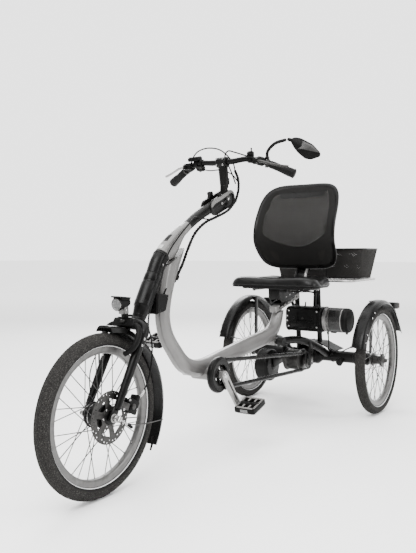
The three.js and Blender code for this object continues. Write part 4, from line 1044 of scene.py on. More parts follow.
def make_handlebar_post():
    """Post with its joint block and bar clamp."""
    post = [
        cross(-13.8, 13.8, *STEM_PIVOT, 20, BLACK, 48), box((25, 26, 62), (0, 703, 976), BLACK, 0, 6, 3),
        sweep(
            [(706, 994), (702, 1030), (694, 1084)], 16,
            lambda t: oval(33 + 8 * t, 30 + 1.5 * math.sin(math.pi * t), 36), BLACK,
        ),
        spin(
            [(12.4, -23), (18.4, -23), (20, -21), (20, 21), (18.4, 23), (12.4, 23)], (0, 692, 1091), BLACK,
            closed=True, segments=48, round_by=1.4,
        ),
        box((44, 8, 4), (0, 670.5, 1091), BLACK, 1.57, 1.4),
    ]
    for x in (-14, 14):
        for dz in (-12, 12):
            post.append(spin([(3.6, 0), (3.6, -2.4), (2, -3)], (x, 671, 1091 + dz), BRIGHT, (0, 1, 0), 16))
    post.append(box((30, 4, 26), (0, 718.4, 1020), PLASTIC, 0.05, 1.4))
    piece("handlebar_post_shell", "post", post, "handlebar_post")


HALF_BAR = [
    (0, 692, 1091), (50, 692, 1092), (105, 695, 1096), (150, 703, 1088), (195, 719, 1072),
    (240, 735.5, 1051.5), (281, 750, 1033),
]
BAR_POINTS = [(-x, y, z) for x, y, z in reversed(HALF_BAR[1:])] + HALF_BAR
BAR_LINE = curve(BAR_POINTS, 600)


def bar(x):
    """The handlebar's centre line at a distance from the middle."""
    return np.array([
        x, np.interp(x, BAR_LINE[:, 0], BAR_LINE[:, 1]), np.interp(x, BAR_LINE[:, 0], BAR_LINE[:, 2]),
    ])


def on_bar(x0, x1, radius, material, sides=24, flat=1.0):
    """A sleeve along part of the handlebar."""
    return tube([bar(x) for x in np.linspace(x0, x1, 7)], radius, material, sides, count=24, flat=flat)


def make_handlebar():
    """The bent tube itself."""
    bar_radii = [11 if abs(x) < 70 else 10.6 for x in np.linspace(-281, 281, 25)]
    piece(
        "handlebar_tube", "post", [tube(BAR_POINTS, bar_radii, BLACK, 24, count=96)], "handlebar",
    )


def make_grip(label, side):
    """Ribbed grip with its collar."""
    grip = [on_bar(side * 187, side * 277, [14.5, 15, 15.4, 16, 18, 19.2, 18.6], GRIP, 28, flat=0.9)]
    grip.append(on_bar(side * 184, side * 189, [16.2, 16.6, 16.2], STEEL, 28))
    for k in range(9):
        x = 196 + k * 5
        grip.append(on_bar(side * x, side * (x + 2.4), [15.7, 16.1, 15.7], GRIP, 24, flat=0.92))
    end = bar(side * 277)
    out = bar(side * 277) - bar(side * 270)
    grip.append(spin([(18.2, -3), (18.6, -1), (17, 2.4), (12, 4.6), (1, 5.4)], end, GRIP, out, 28))
    piece(f"grip_sleeve_{label}", "post", grip, f"grip_{label}")


def make_hand_controls(label, side):
    """Clamp, brake housing, and the bell at the left or the display at the right."""
    middle = bar(side * 163)
    controls = [
        on_bar(side * 147, side * 173, 16, PLASTIC), on_bar(side * 151, side * 169, 17.2, PLASTIC),
        box((40, 18, 22), middle + [-side * 4, -21, -1], PLASTIC, 0, 5, 3, yaw=side * 0.3),
        box((34, 14, 5), middle + [-side * 4, -22, 11], BLACK, 0, 2, 2, yaw=side * 0.3),
        screw(*(middle + [-side * 14, -22, 12]), 2.4, BRIGHT, 1),
        box((12, 10, 14), middle + [side * 2, -33, -2], PLASTIC, 0, 3, 2),
        cross(middle[0] - 10, middle[0] - 26 * side, middle[1] - 20, middle[2], 4.2, STEEL, 16),
    ]
    if side > 0:
        cup = bar(122)
        controls += [
            on_bar(113, 131, 14.6, PLASTIC), box((26, 16, 10), cup + [0, -2, 15], PLASTIC, 0, 3, 3),
            spin(
                [(13, 0), (14.4, 3), (13.6, 9), (9, 13), (1, 14.4)], cup + [0, -2, 17], BLACK,
                (0, -0.1, 1), 40,
            ),
            tube(
                [cup + [8, -12, 22], cup + [14, -20, 30], cup + [16, -24, 38]], [3, 2.6, 3.4], PLASTIC, 12,
                flat=0.6,
            ),
        ]
    else:
        pod = bar(-130)
        controls += [
            on_bar(-113, -131, 14.6, PLASTIC), box((50, 36, 15), pod + [0, -5, 21], PLASTIC, 0.25, 5, 4),
            box((42, 28, 4), pod + [0, -6.4, 29], GUARD, 0.25, 1.6, 2),
            box((12, 12, 8), pod + [0, -2, 12], PLASTIC, 0, 2), on_bar(-92, -100, 14, PLASTIC),
            box((30, 26, 22), bar(-104) + [0, 2, -20], PLASTIC, 0, 6, 3),
            cross(-118, -90, bar(-104)[1] - 10, bar(-104)[2] - 20, 5, STEEL, 16),
        ]
    piece(f"hand_controls_{label}_parts", "post", controls, f"hand_controls_{label}")


def make_brake_lever(label, side):
    """Bent blade of the brake lever."""
    root = bar(side * 163) + [side * 2, -37.5, -2]
    tip = bar(side * 270) + [side * 8, -45, 18]
    bend = np.array([side * 205, root[1] + 2, root[2] - 10])
    blade = [
        # The left blade is dark steel and the right blade light alloy: painted shade and painted light on
        # two copies of the same lever.
        tube(
            [root, (root + bend) / 2 + [0, -3, 1], bend, (bend + tip) / 2 + [0, -2, -2], tip],
            [5.4, 5.8, 5.2, 5, 6], STEEL if side > 0 else ALLOY, 20, flat=0.8,
        ),
        rod(root + [0, 0, -8], root + [0, 0, 8], 5.8, PLASTIC),
        rod(root + [0, 0, -9], root + [0, 0, 9], 2.6, BRIGHT),
    ]
    piece(
        f"brake_lever_{label}_blade", f"brake_lever_{label}_body", blade, f"brake_lever_{label}",
    )


def make_shift_lever():
    """Two paddles of the gear lever."""
    pod = bar(-110)
    shift = [
        rod(pod + [0, 2, -17], pod + [0, 2, -24], 9.4, PLASTIC),
        tube(
            [pod + [0, 2, -20], pod + [-6, 14, -24], pod + [-13, 26, -28]], [4.4, 4, 5.6], PLASTIC, 16,
            flat=0.6,
        ),
        tube([pod + [2, -6, -20], pod + [0, -16, -24]], [3.4, 4.6], PLASTIC, 14, flat=0.6),
    ]
    piece("shift_lever_paddle", "shift_lever_body", shift, "shift_lever")


def make_mirror_stalk():
    """Clamp, bent stalk and ball of the mirror."""
    clamp = bar(183.4)
    mirror_stalk = [
        on_bar(180.6, 183.6, 17.4, STEEL, 28), box((14, 14, 12), clamp + [0, -1, 19], BLACK, 0, 3, 3),
        tube(
            [clamp + [0, 0, 14], clamp + [2, -2, 42], (214, 714, 1146), MIRROR_BALL - [11, 1, 0.5]],
            [6.2, 6, 6.2, 6.4, 6.2], BLACK, 18, count=40, flat=0.85,
        ),
        box((9, 8, 8), MIRROR_BALL - [14, 1, 0], PLASTIC, 0, 2),
        spin(
            [(0.1, -6.4), (3.2, -5.5), (5.5, -3.2), (6.4, 0), (5.5, 3.2), (3.2, 5.5), (0.1, 6.4)],
            MIRROR_BALL, BLACK, segments=24,
        ),
    ]
    piece("mirror_stalk", "mirror_arm_body", mirror_stalk, "mirror_arm")


def make_mirror_head():
    """Shallow faceted shell with its glass; u runs along it and w up it."""
    u_axis = np.array((math.cos(0.33), math.sin(0.33), 0))
    w_axis = np.array((0, 0, 1.0))
    n_axis = np.array((math.sin(0.33), -math.cos(0.33), 0))
    head_middle = np.array((324, 740, 1138.0))
    outline = [
        (-56.6, 20), (-36, 27), (-14, 22.5), (29, -2), (57, -34), (55, -47), (22, -57), (1, -53),
        (-25, -31), (-40, -12),
    ]
    outline = soften(outline, 7, 3, closed=True)

    def layer(points, share, lift, u_pull, w_pull):
        """The points drawn in by a share towards a place and lifted off the mirror's plane."""
        rest = 1 - share
        base = head_middle + n_axis * lift
        row = []
        for u, w in points:
            row.append(base + u_axis * (u * share + u_pull * rest) + w_axis * (w * share + w_pull * rest))
        return np.array(row)

    dome = ((0.93, -7), (1.0, -5), (1.0, 0), (0.93, 3.5), (0.62, 8.2), (0.2, 10.2), (0.02, 10.4))
    shell = skin([layer(outline, share, lift, 2, -16) for share, lift in dome], PLASTIC)
    facet = [(-9, 12), (28, -6), (56, -35), (22, -29), (-26, -18)]
    steps = ((1.0, 2.0), (0.96, 7.6), (0.6, 12.2), (0.05, 12.8))
    facet_rows = [layer(facet, share, lift, 14, -17) for share, lift in steps]
    glass = [layer(outline, 0.9, lift, 0, 0) for lift in (-6.6, -7.8)]
    mirror = [
        shell, skin(facet_rows, FACET), skin(glass, CHROME),
        tube(
            [MIRROR_BALL - [2, 0, 0], MIRROR_BALL + [8, 3, -3], MIRROR_BALL + [22, 8, -8]], [6.5, 6.5, 5],
            PLASTIC, 18,
        ),
        screw(*(MIRROR_BALL + [-2, -6.6, 2]), 1.6, STEEL, 1),
    ]
    piece("mirror_shell", "mirror_head_body", mirror, "mirror_head", crease=20)


# ---------------------------------------------------------------- main frame
# Each row is y, z, width and depth of the frame tube.
STATIONS = [
    (402, 778, 44, 62), (352, 700, 47, 76), (328, 640, 48, 72), (315, 580, 47, 60), (312, 520, 46, 52),
    (329, 462, 46, 52), (372, 405, 47, 54), (425, 352, 49, 58), (478, 328, 50, 60), (545, 320, 50, 62),
    (700, 338, 50, 63), (895, 363, 50, 63), (1035, 381, 50, 62), (1100, 400, 50, 62), (1138, 440, 48, 54),
    (1160, 492, 46, 46),
]
SIZES = curve([(w, d, 0) for _, _, w, d in STATIONS], 120)


def frame_section(t):
    """The frame tube's ten-sided section at a share of its length."""
    w = np.interp(t, np.linspace(0, 1, 121), SIZES[:, 0]) / 2
    d = np.interp(t, np.linspace(0, 1, 121), SIZES[:, 1]) / 2
    ten = [
        (-0.45 * w, -d), (0.45 * w, -d), (0.92 * w, -0.55 * d), (w, 0.15 * d), (0.72 * w, 0.86 * d),
        (0.3 * w, d), (-0.3 * w, d), (-0.72 * w, 0.86 * d), (-w, 0.15 * d), (-0.92 * w, -0.55 * d),
    ]
    return soften(ten, 2.6, 2, closed=True)


def make_main_frame():
    """One-piece frame tube, the rear joint's bolt and the crank cups."""
    main_tube = sweep([(y, z) for y, z, _, _ in STATIONS], 120, frame_section, SILVER)
    lug_parts = [
        cross(-36, 36, CRANK_Y, CRANK_Z, 25, SILVER, 56), cross(-25, 25, *REAR_JOINT, 19, SILVER, 40),
        cross(-46, 46, *REAR_JOINT, 7.4, BRIGHT, 24),
    ]
    for side in (1, -1):
        lug_parts.append(spin([
            (6, side * 44.6), (12, side * 44.6), (12, side * 48), (9, side * 50.4), (5, side * 50.8),
            (4, side * 47), (0.5, side * 47),
        ], (0, *REAR_JOINT), BRIGHT, segments=36))
    below = [
        np.array([(x, y, z) for y, z in ((300, 688), (470, 784), (470, 900), (250, 900), (250, 660))])
        for x in (-60, 60)
    ]
    frame_cuts = [
        rod(column(0, 0, -40), column(0, 0, 167), 30.9, BLACK, sides=64),
        rod(column(0, 0, 165), column(0, 0, 420), 37, BLACK, sides=64), skin(below, BLACK),
        cross(-50, 50, CRANK_Y, CRANK_Z, 11, BLACK, 40),
        box((60, 420, 80), rail(0, 0, 40 - 19.4), BLACK, RAIL_TILT, 0.1, 1),
    ]
    piece(
        "main_frame_tube", "frame", [main_tube, *lug_parts[:1]], "main_frame", crease=50,
        cuts=frame_cuts,
    )
    piece("rear_joint_bolt", "frame", lug_parts[1:])
    ring_faces = []
    for side in (1, -1):
        ring_faces.append(spin([
            (11.5, side * 36), (24, side * 36), (24.6, side * 38), (22, side * 40.5), (13, side * 41),
            (11.5, side * 40),
        ], CRANK_MIDDLE, STEEL, segments=40))
    piece("bottom_bracket_cups", "frame", ring_faces)


def make_junction_box():
    """Wiring box behind the head tube."""
    box_outline = [(240, 612), (304, 601), (287, 549), (236, 540)]
    case = [
        plate(box_outline, -35, 35, PLASTIC, 2.6, round_by=4),
        plate(inset(np.array(box_outline)[::-1], 6)[::-1], 34.4, 36.2, PLASTIC, 0.6, round_by=3),
        screw(36, 252, 552, 2.4, STEEL), screw(36, 292, 592, 2.4, STEEL),
        tube([(20, 296, 604), (20, 306, 622), (14, 324, 632)], 3, PLASTIC, 10),
    ]
    case_cuts = [rod(column(0, 0, -40), column(0, 0, 166), 30.9, BLACK, sides=64)]
    piece("junction_box_case", "frame", case[:1], "junction_box", cuts=case_cuts)
    piece("junction_box_lid", "frame", case[1:])


upper_route = [(36, 724, 1062), (42, 738, 1030), (41, 743, 990), (38, 728, 945)]
lower_route = [
    (38, 728, 945), (34, 679, 906), (28, 613, 879), (22, 537, 852), (17, 481, 812), (14, 441, 755),
    (12, 413, 705), (10, 390, 672), (10, 366, 642),
]


def wrapped(points, radius, count):
    """Cables under a spiral wrap: a hose with shallow turns."""
    line = curve(points, count)
    radii = radius * (1 + 0.09 * np.sign(np.sin(np.arange(count + 1) * math.pi / 2.0)))
    return tube(line, radii, PLASTIC, 14, smooth=False)


def make_cable_bundle():
    """Wrapped cables that run past the stem's tilt joint and the steering; neither part is attached to a
    body.
    """
    upper = piece("cable_wrap_upper", "post", [wrapped(upper_route, 5.2, 60)], ride=False)
    lower = piece(
        "cable_wrap_lower", "frame",
        [
            wrapped(lower_route, 5.2, 170),
            spin(
                [(4, -6), (9.5, -4), (9.5, 8), (7, 12), (4, 12)], (10, 377, 655), PLASTIC,
                (0.05, 0.55, 0.83), 24,
            ),
        ],
        "cable_bundle", ride=False,
    )

    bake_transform(upper)
    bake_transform(lower)


def make_hose_and_bar_cables():
    """Front brake hose and the cables of the handlebar."""
    hose_route = [
        (35, 690, 908), (31, 640, 886), (28, 560, 866), (26, 470, 868), (27.5, 440, 851), (29.5, 392, 818),
        (31.5, 345, 782), (34, 304, 745), (38, 276, 705), (42, 250, 655), (45, 216, 612), (46.5, 200, 586),
        (47.5, 180, 545), (48.5, 176, 508), (50, 190, 460), (52, 188, 400), (52, 168, 335), (52, 138, 296),
    ]
    piece(
        "brake_hose", "steering",
        [tube(hose_route, 2.6, PLASTIC, 12, count=150), rod((52, 149, 308), (52, 138, 296), 4, BRIGHT)],
        "front_brake_hose",
    )
    piece(
        "bar_cables", "post",
        [
            tube([
                (-146, 690, 1096), (-120, 668, 1118), (-84, 652, 1136), (-36, 648, 1143), (8, 660, 1134),
                (30, 690, 1108), (36, 716, 1082), (37, 724, 1060),
            ], 2.7, PLASTIC, 10, count=90),
            tube([
                (142, 686, 1094), (112, 672, 1106), (72, 664, 1120), (40, 668, 1128), (16, 684, 1112),
                (14, 708, 1086), (24, 722, 1050), (34, 734, 1010),
            ], 2.7, PLASTIC, 10, count=90),
            tube(
                [(-104, 697, 1074), (-70, 706, 1066), (-20, 722, 1066), (20, 738, 1044), (38, 741, 1020)],
                2.4, PLASTIC, 10, count=60,
            ),
        ],
    )


# ---------------------------------------------------------------- cranks, pedals, chain


def crank_end(side):
    """Where the pedal's spindle sits, as (y, z)."""
    reach = side * CRANK_LENGTH
    return CRANK_Y + reach * math.cos(CRANK_ANGLE), CRANK_Z + reach * math.sin(CRANK_ANGLE)


def crank_arm(side):
    """A fluted arm with a chrome cap and a pedal eye."""
    y, z = crank_end(side)
    base = 90 if side > 0 else -74
    low, high = sorted((base - side * 2, base + side * 12))
    hub = np.array((CRANK_Y, CRANK_Z))
    heading = (np.array((y, z)) - hub) / CRANK_LENGTH
    aside = np.array((-heading[1], heading[0]))
    outer_x = high if side > 0 else low
    flute = [(26, 4.6), (60, 4.2), (100, 3.8), (132, 3.2)]
    ends = [hub + heading * a + aside * h for a, h in flute]
    ends += [hub + heading * a - aside * h for a, h in reversed(flute)]
    arm_shell = plate(capsule(CRANK_Y, CRANK_Z, y, z, 17, 12.5, 18), low, high, ALLOY, 2.6)
    cap = spin(
        [(12, 0), (11.6, side * 2.4), (8, side * 4.2), (1, side * 4.6)],
        (outer_x - side * 0.4, CRANK_Y, CRANK_Z), CHROME, segments=40,
    )
    eye = spin(
        [(8.4, 0), (8.4, side * 1.6), (6, side * 2.2), (5, side * 0.6), (0.4, side * 0.6)],
        (outer_x - side * 0.4, y, z), CHROME, segments=28,
    )
    groove = plate([tuple(p) for p in ends], outer_x - 1.2, outer_x + 1.2, STEEL, 0.2, round_by=3)
    root = 96 if side > 0 else -80
    spindle = cross(root, root + side * 92, y, z, 5.9, BRIGHT)
    return [arm_shell, cap, eye, spindle], [groove]


def make_cranks():
    """Chainring, crank axle and both crank arms."""
    left_arm, left_groove = crank_arm(1)
    ring_holes = []
    for i in range(5):
        turn = 2 * math.pi * i / 5
        corners = [
            (CRANK_Y + r * math.cos(turn + s), CRANK_Z + r * math.sin(turn + s))
            for r, s in ((20, 0.3), (41, 0.42), (41, -0.42), (20, -0.3))
        ]
        ring_holes.append(plate(soften(corners[::-1], 4, 3, True), 60, 82, STEEL, 0.1))
    ring_teeth = []
    teeth = 26
    for i in range(teeth * 4):
        turn = 2 * math.pi * i / (teeth * 4)
        r = (47.4, 50.6, 52.8, 50.6)[i % 4]
        ring_teeth.append((CRANK_Y + r * math.cos(turn), CRANK_Z + r * math.sin(turn)))
    piece(
        "chainring", "cranks", [plate(ring_teeth, CHAIN_X - 1.6, CHAIN_X + 1.6, STEEL, 0.5)],
        cuts=ring_holes,
    )
    piece(
        "crank_left", "cranks",
        left_arm + [
            cross(-60, 90, CRANK_Y, CRANK_Z, 10.3, STEEL), cross(73, 90, CRANK_Y, CRANK_Z, 15, ALLOY, 40),
        ],
        "crank_with_chainring", cuts=left_groove,
    )
    right_arm, right_groove = crank_arm(-1)
    piece("crank_right", "cranks", right_arm, "crank_arm_right", cuts=right_groove)


def make_pedal(label, side):
    """Platform pedal with tread studs and reflectors."""
    y, z = crank_end(side)
    x = 148 if side > 0 else -134
    middle = np.array((x, y, z))
    lay = np.array(Matrix.Rotation(PEDAL_TILT, 3, "X"))
    pedal = [
        spin(
            [(7, -40), (13, -40), (14.5, -34), (12.5, -16), (12.5, 16), (14.5, 34), (13, 40), (7, 40)],
            (x, y, z), PLASTIC, segments=36, round_by=1.5,
        ),
        box((9, 92, 22), (x + 37, y, z), PLASTIC, 0, 3.4, 3),
        box((9, 92, 22), (x - 37, y, z), PLASTIC, 0, 3.4, 3),
    ]
    for end in (1, -1):
        pedal.append(box((80, 13, 21), (x, y + end * 40, z), PLASTIC, 0, 3.4, 3))
        pedal.append(box((66, 9, 24), (x, y + end * 40, z), STUD, 0, 2, 2))
        pedal.append(box((30, 2.6, 12), (x, y + end * 47, z), LENS, 0, 1, 2))
        for k in range(6):
            for top in (1, -1):
                pedal.append(box(
                    (6, 6.4, 3.4), (x - 27 + k * 10.8, y + end * 40, z + top * 11.6), STUD, 0, 1.2, 2,
                ))
        for k in (-1, 1):
            pedal.append(box((9, 24, 20), (x + k * 13, y + end * 24, z), PLASTIC, 0, 2.4, 2))
            pedal.append(box((6, 20, 3), (x + k * 13, y + end * 24, z + 10.4), STUD, 0, 1, 2))
    for end in (1, -1):
        for k in range(8):
            for top in (1, -1):
                pedal.append(box(
                    (7, 6, 3.2), (x + end * 37, y - 35 + k * 10, z + top * 11.6), STUD, 0, 1, 2,
                ))
    for part in pedal:
        part[0] = (np.array(part[0]) - middle) @ lay.T + middle
    piece(f"pedal_{label}_platform", f"pedal_{label}_body", pedal, f"pedal_{label}")


def make_chain_guard():
    """Drum round the chainring and the two tubes round the chain."""
    high_run = [
        np.array((CHAIN_X, CRANK_Y, CRANK_Z + CHAINRING_RADIUS)),
        np.array((CHAIN_X, SPROCKET_Y, SPROCKET_Z + SPROCKET_RADIUS)),
    ]
    low_run = [
        np.array((CHAIN_X, CRANK_Y, CRANK_Z - CHAINRING_RADIUS)),
        np.array((CHAIN_X, SPROCKET_Y, SPROCKET_Z - SPROCKET_RADIUS)),
    ]
    drum = spin([
        (38, 83.4), (55, 83.4), (62, 81.6), (66, 77.5), (67, 72), (66, 65), (63, 60.6), (57, 58.6),
        (41, 59), (41, 60.8), (57, 60.8), (64.6, 66), (64.6, 76), (57, 81.4), (38, 81.4),
    ], CRANK_MIDDLE, GUARD, segments=96, round_by=1.2, closed=True)
    ribs = [
        spin(
            [(r, 83.1), (r + 0.8, 84), (r + 2, 84), (r + 2.8, 83.1)], CRANK_MIDDLE, GUARD, segments=96,
            closed=True,
        )
        for r in (40, 55)
    ]
    spokes_of_drum = []
    for i in range(5):
        turn = 2 * math.pi * i / 5 + 0.5
        a = np.array((82, CRANK_Y + 22 * math.cos(turn), CRANK_Z + 22 * math.sin(turn)))
        b = np.array((82, CRANK_Y + 41 * math.cos(turn), CRANK_Z + 41 * math.sin(turn)))
        spokes_of_drum.append(tube([a, b], 3.2, GUARD, 10, flat=0.4))
    spokes_of_drum.append(spin(
        [(19, 81), (23, 81), (23, 83), (19, 83)], CRANK_MIDDLE, GUARD, segments=48, closed=True,
    ))
    chain_tubes = []
    for run in (high_run, low_run):
        chain_tubes.append(tube(
            [run[0] + (run[1] - run[0]) * s for s in (0.05, 0.9)], 8, GUARD, 24, count=4,
        ))
        chain_tubes.append(tube(
            [run[0] + (run[1] - run[0]) * s for s in (0.885, 0.902)], 9.2, GUARD, 24, count=1,
        ))
        chain_tubes.append(tube(
            [run[0] + (run[1] - run[0]) * s for s in (0.055, 0.10)], [9.4, 8.6], GUARD, 24, count=2,
        ))
    chain_tubes.append(box((24, 12, 10), (48, CRANK_Y + 47, CRANK_Z - 10), GUARD))
    piece(
        "chain_guard_shell", "frame", [drum, *ribs, *spokes_of_drum, *chain_tubes], "chain_guard",
    )


def make_chain():
    """Chain, link by link."""
    slope = math.atan2(SPROCKET_Z - CRANK_Z, SPROCKET_Y - CRANK_Y)
    loop = []
    for (y, z), radius, start in (
        ((SPROCKET_Y, SPROCKET_Z), SPROCKET_RADIUS, -90), ((CRANK_Y, CRANK_Z), CHAINRING_RADIUS, 90),
    ):
        for i in range(25):
            turn = slope + math.radians(start + 7.5 * i)
            loop.append((y + radius * math.cos(turn), z + radius * math.sin(turn)))
    loop = np.array(loop + loop[:1])
    lengths = np.concatenate([[0], np.cumsum(np.linalg.norm(np.diff(loop, axis=0), axis=1))])
    links = int(round(lengths[-1] / 12.7 / 2)) * 2
    chain = []
    for i in range(links):
        ends = []
        for k in (i, (i + 1) % links):
            run = k * lengths[-1] / links
            ends.append((np.interp(run, lengths, loop[:, 0]), np.interp(run, lengths, loop[:, 1])))
        outer = 2.9 if i % 2 else 1.9
        for side in (1, -1):
            x0, x1 = sorted((CHAIN_X + side * outer, CHAIN_X + side * (outer + 0.9)))
            chain.append(plate(capsule(*ends[0], *ends[1], 3.6, 3.6, 4), x0, x1, STEEL, 0.2))
        chain.append(cross(CHAIN_X - 3.9, CHAIN_X + 3.9, *ends[0], 2.2, STEEL, 8))
    piece("chain_links", "frame", chain, "chain")


def make_gear_hub():
    """Ribbed gear hub with its sprocket and axle."""
    sprocket_teeth = []
    for i in range(72):
        turn = 2 * math.pi * i / 72
        reach = 32 if i % 4 < 2 else SPROCKET_RADIUS
        sprocket_teeth.append((SPROCKET_Y + reach * math.cos(turn), SPROCKET_Z + reach * math.sin(turn)))
    gear = [
        spin([
            (7, -40), (20, -40), (50, -37), (52, -35), (52, -31), (48, -29), (46, -26), (45, 0), (46, 34),
            (48, 38), (52, 41), (52, 45), (50, 47), (24, 52), (20, 56), (20, 66), (16, 68),
        ], SPROCKET, STEEL, segments=64, round_by=1.2),
        cross(-54, 90, SPROCKET_Y, SPROCKET_Z, 5.9, BRIGHT),
        spin([(8, 86), (10, 84), (10, 79), (8, 77)], SPROCKET, BRIGHT, segments=6),
        plate(sprocket_teeth, CHAIN_X - 1.7, CHAIN_X + 1.7, STEEL, 0.4),
    ]
    for k in range(10):
        gear.append(spin(
            [(45.4, -20 + 5 * k), (47.4, -19 + 5 * k), (47.4, -17.6 + 5 * k), (45.4, -16.6 + 5 * k)],
            SPROCKET, STEEL, segments=64, closed=True,
        ))
    piece("gear_hub_shell", "gear_hub_body", gear, "gear_hub")


def make_drive_motor():
    """Ribbed motor drum with its rings of screws."""
    motor = [spin([
        (5, -36), (56, -36), (60, -35), (74, -29), (76, -26), (76, 24), (74, 28), (60, 35), (24, 36),
        (22, 39), (5, 39),
    ], MOTOR, BLACK, segments=96, round_by=1.5)]
    for k in range(6):
        motor.append(spin([
            (75.4, -20 + 7.4 * k), (77.4, -19.4 + 7.4 * k), (77.4, -17 + 7.4 * k), (75.4, -16.4 + 7.4 * k),
        ], MOTOR, BLACK, segments=96, closed=True))
    for k in range(8):
        turn = 2 * math.pi * k / 8
        y = MOTOR[1] + 62 * math.cos(turn)
        z = MOTOR[2] + 62 * math.sin(turn)
        motor.append(screw(-116, y, z, 3.2, STEEL))
        motor.append(screw(-184, y, z, 3.2, STEEL, -1))
    piece("drive_motor_shell", "frame", motor, "drive_motor")


# ---------------------------------------------------------------- rear frame


def make_rear_frame():
    """Swing tubes, axle housing, uprights and hub plates."""
    rear = [
        tube([(-300, REAR_Y, REAR_Z), (300, REAR_Y, REAR_Z)], 27, BLACK, 40),
        spin(
            [(27, -68), (34, -58), (42, -50), (44, -44), (44, 44), (42, 50), (34, 58), (27, 68)],
            REAR_MIDDLE, BLACK, segments=64, round_by=2,
        ),
        box((5, 44, 110), (-50.5, SPROCKET_Y, 280), BLACK),
        box((5, 44, 110), (83.5, SPROCKET_Y, 280), BLACK),
        box((6, 190, 46), (-107.4, 1412, 232), BLACK, 0.15),
    ]
    for side in (1, -1):
        rear.append(tube([
            (side * 44, 1080, 356), (side * 47, 1120, 357), (side * 53, 1200, 354), (side * 64, 1300, 338),
            (side * 84, 1405, 298), (side * 98, 1486, 256),
        ], 17.4, BLACK, 36, count=60))
        rear.append(tube([(side * 56, 1494, 262), (side * 56, 1458, 606.4)], 12, BLACK, 28))
        rear.append(box((14, 34, 120), (side * 56, 1457, BATTERY_Z), BLACK, 0, 3))
        rear.append(tube([(side * 169, 1458, 225), (side * 169, 1500, 240)], 15, BLACK, 28))
        rear.append(spin(
            [(15.6, 0), (15.6, -4), (12, -6), (3, -6)], (side * 169, 1458, 225), BLACK, (0, 0.95, 0.3), 32,
        ))
        for x in (118, 230, 286):
            rear.append(spin(
                [(27.3, x * side), (30, (x + 1.5) * side), (30, (x + 7) * side), (27.3, (x + 9) * side)],
                REAR_MIDDLE, BLACK, segments=48, closed=True,
            ))
        rear.append(tube([
            (side * 50, 1440, 478), (side * 58, 1420, 500), (side * 60, 1419, 560), (side * 58, 1421, 604),
        ], 7, BLACK, 14))
        rear.append(spin(
            [(12, side * 40), (20, side * 40), (20, side * 62), (18, side * 64), (12, side * 64)],
            (0, *REAR_JOINT), BLACK, segments=40,
        ))
    piece("rear_frame_tubes", "frame", rear, "rear_frame")


def make_rear_cover():
    """Ribbed tray over the axle housing."""
    cover_line = soften([(-151, 282), (-116, 298), (-60, 316), (70, 316), (110, 298), (151, 282)], 14, 4)
    cover_rings = []
    for y, drop, scale in ((1448, 3, 0.99), (1450, 0.6, 1), (1503, 0, 1), (1556, 0.6, 1), (1558, 3, 0.99)):
        ring = [(x * scale, y, z - drop) for x, z in cover_line] + [
            (x * scale * 0.985, y, z - 4.5)
            for x, z in cover_line[::-1]
        ]
        cover_rings.append(np.array(ring))
    cover = [skin(cover_rings, PLASTIC)]
    for x in (-40, 0, 40):
        cover.append(box((6, 96, 3), (x, 1503, 317), PLASTIC, 0, 1.2, 2))
    piece("rear_cover_tray", "frame", cover, "rear_cover")


def make_rear_mudguard(label, side):
    """Rear mudguard with its stays and rivets."""
    x = side * HALF_TRACK
    guard = sweep(
        arc_line((REAR_Y, REAR_Z), 279, 162, 40, 84, 90), 84, lambda t: guard_section(33, 18, 2.2), GUARD,
        smooth=False,
    )
    guard[0] = guard[0] + [x, 0, 0]
    parts = [
        guard, box((4.6, 30, 244), (side * 305.2, REAR_Y, REAR_Z + 150), GUARD, 0, 1.6),
        tube([(side * 305.4, 1494, REAR_Z + 34), (side * 306, 1252, REAR_Z + 88)], 2.3, STEEL, 12),
        box((20, 40, 4), (side * 312, REAR_Y, REAR_Z + 272), GUARD, 0, 1.4),
        box((26, 70, 5), (x, 1710, 466), GUARD, -0.72, 2, 2),
    ]
    for turn in (156, 148, 128, 120):
        across = math.radians(turn)
        start = np.array((
            x + side * 32.4, REAR_Y + 263.5 * math.cos(across), REAR_Z + 263.5 * math.sin(across),
        ))
        parts.append(spin(
            [(4.4, 0), (4.2, side * 1.2), (2.4, side * 2.2), (0.3, side * 2.4)],
            start - [side * 0.8, 0, 0], BRIGHT, segments=18,
        ))
    piece(f"rear_mudguard_shell_{label}", "frame", parts, f"rear_mudguard_{label}")


def make_tail_light(label, side):
    """Tail light with its ribbed lens."""
    x = side * HALF_TRACK
    lamp = [
        box((39, 78, 32), (x, 1712, 487), PLASTIC, -0.06, 6, 4),
        box((37, 22, 27), (x, 1753, 485), RED, -0.06, 6, 4),
        box((30, 5, 18), (x, 1763, 484), RED, 0, 2, 2), box((16, 50, 8), (x, 1714, 470), PLASTIC, -0.5, 2),
    ]
    for k in range(3):
        lamp.append(box((38, 1.6, 24), (x, 1753 + 3.4 * k, 485), RED, -0.06, 0.6, 1))
    piece(f"tail_light_parts_{label}", "frame", lamp, f"tail_light_{label}")


# ---------------------------------------------------------------- battery


def dock_outline(half, chamfer):
    """A square with cut corners round the battery's axis."""
    points = []
    for a, b in ((1, -1), (1, 1), (-1, 1), (-1, -1)):
        cuts = (0, chamfer) if a == b else (chamfer, 0)
        for y_cut, z_cut in (cuts, cuts[::-1]):
            points.append((BATTERY_Y + a * (half - y_cut), BATTERY_Z + b * (half - z_cut)))
    return points


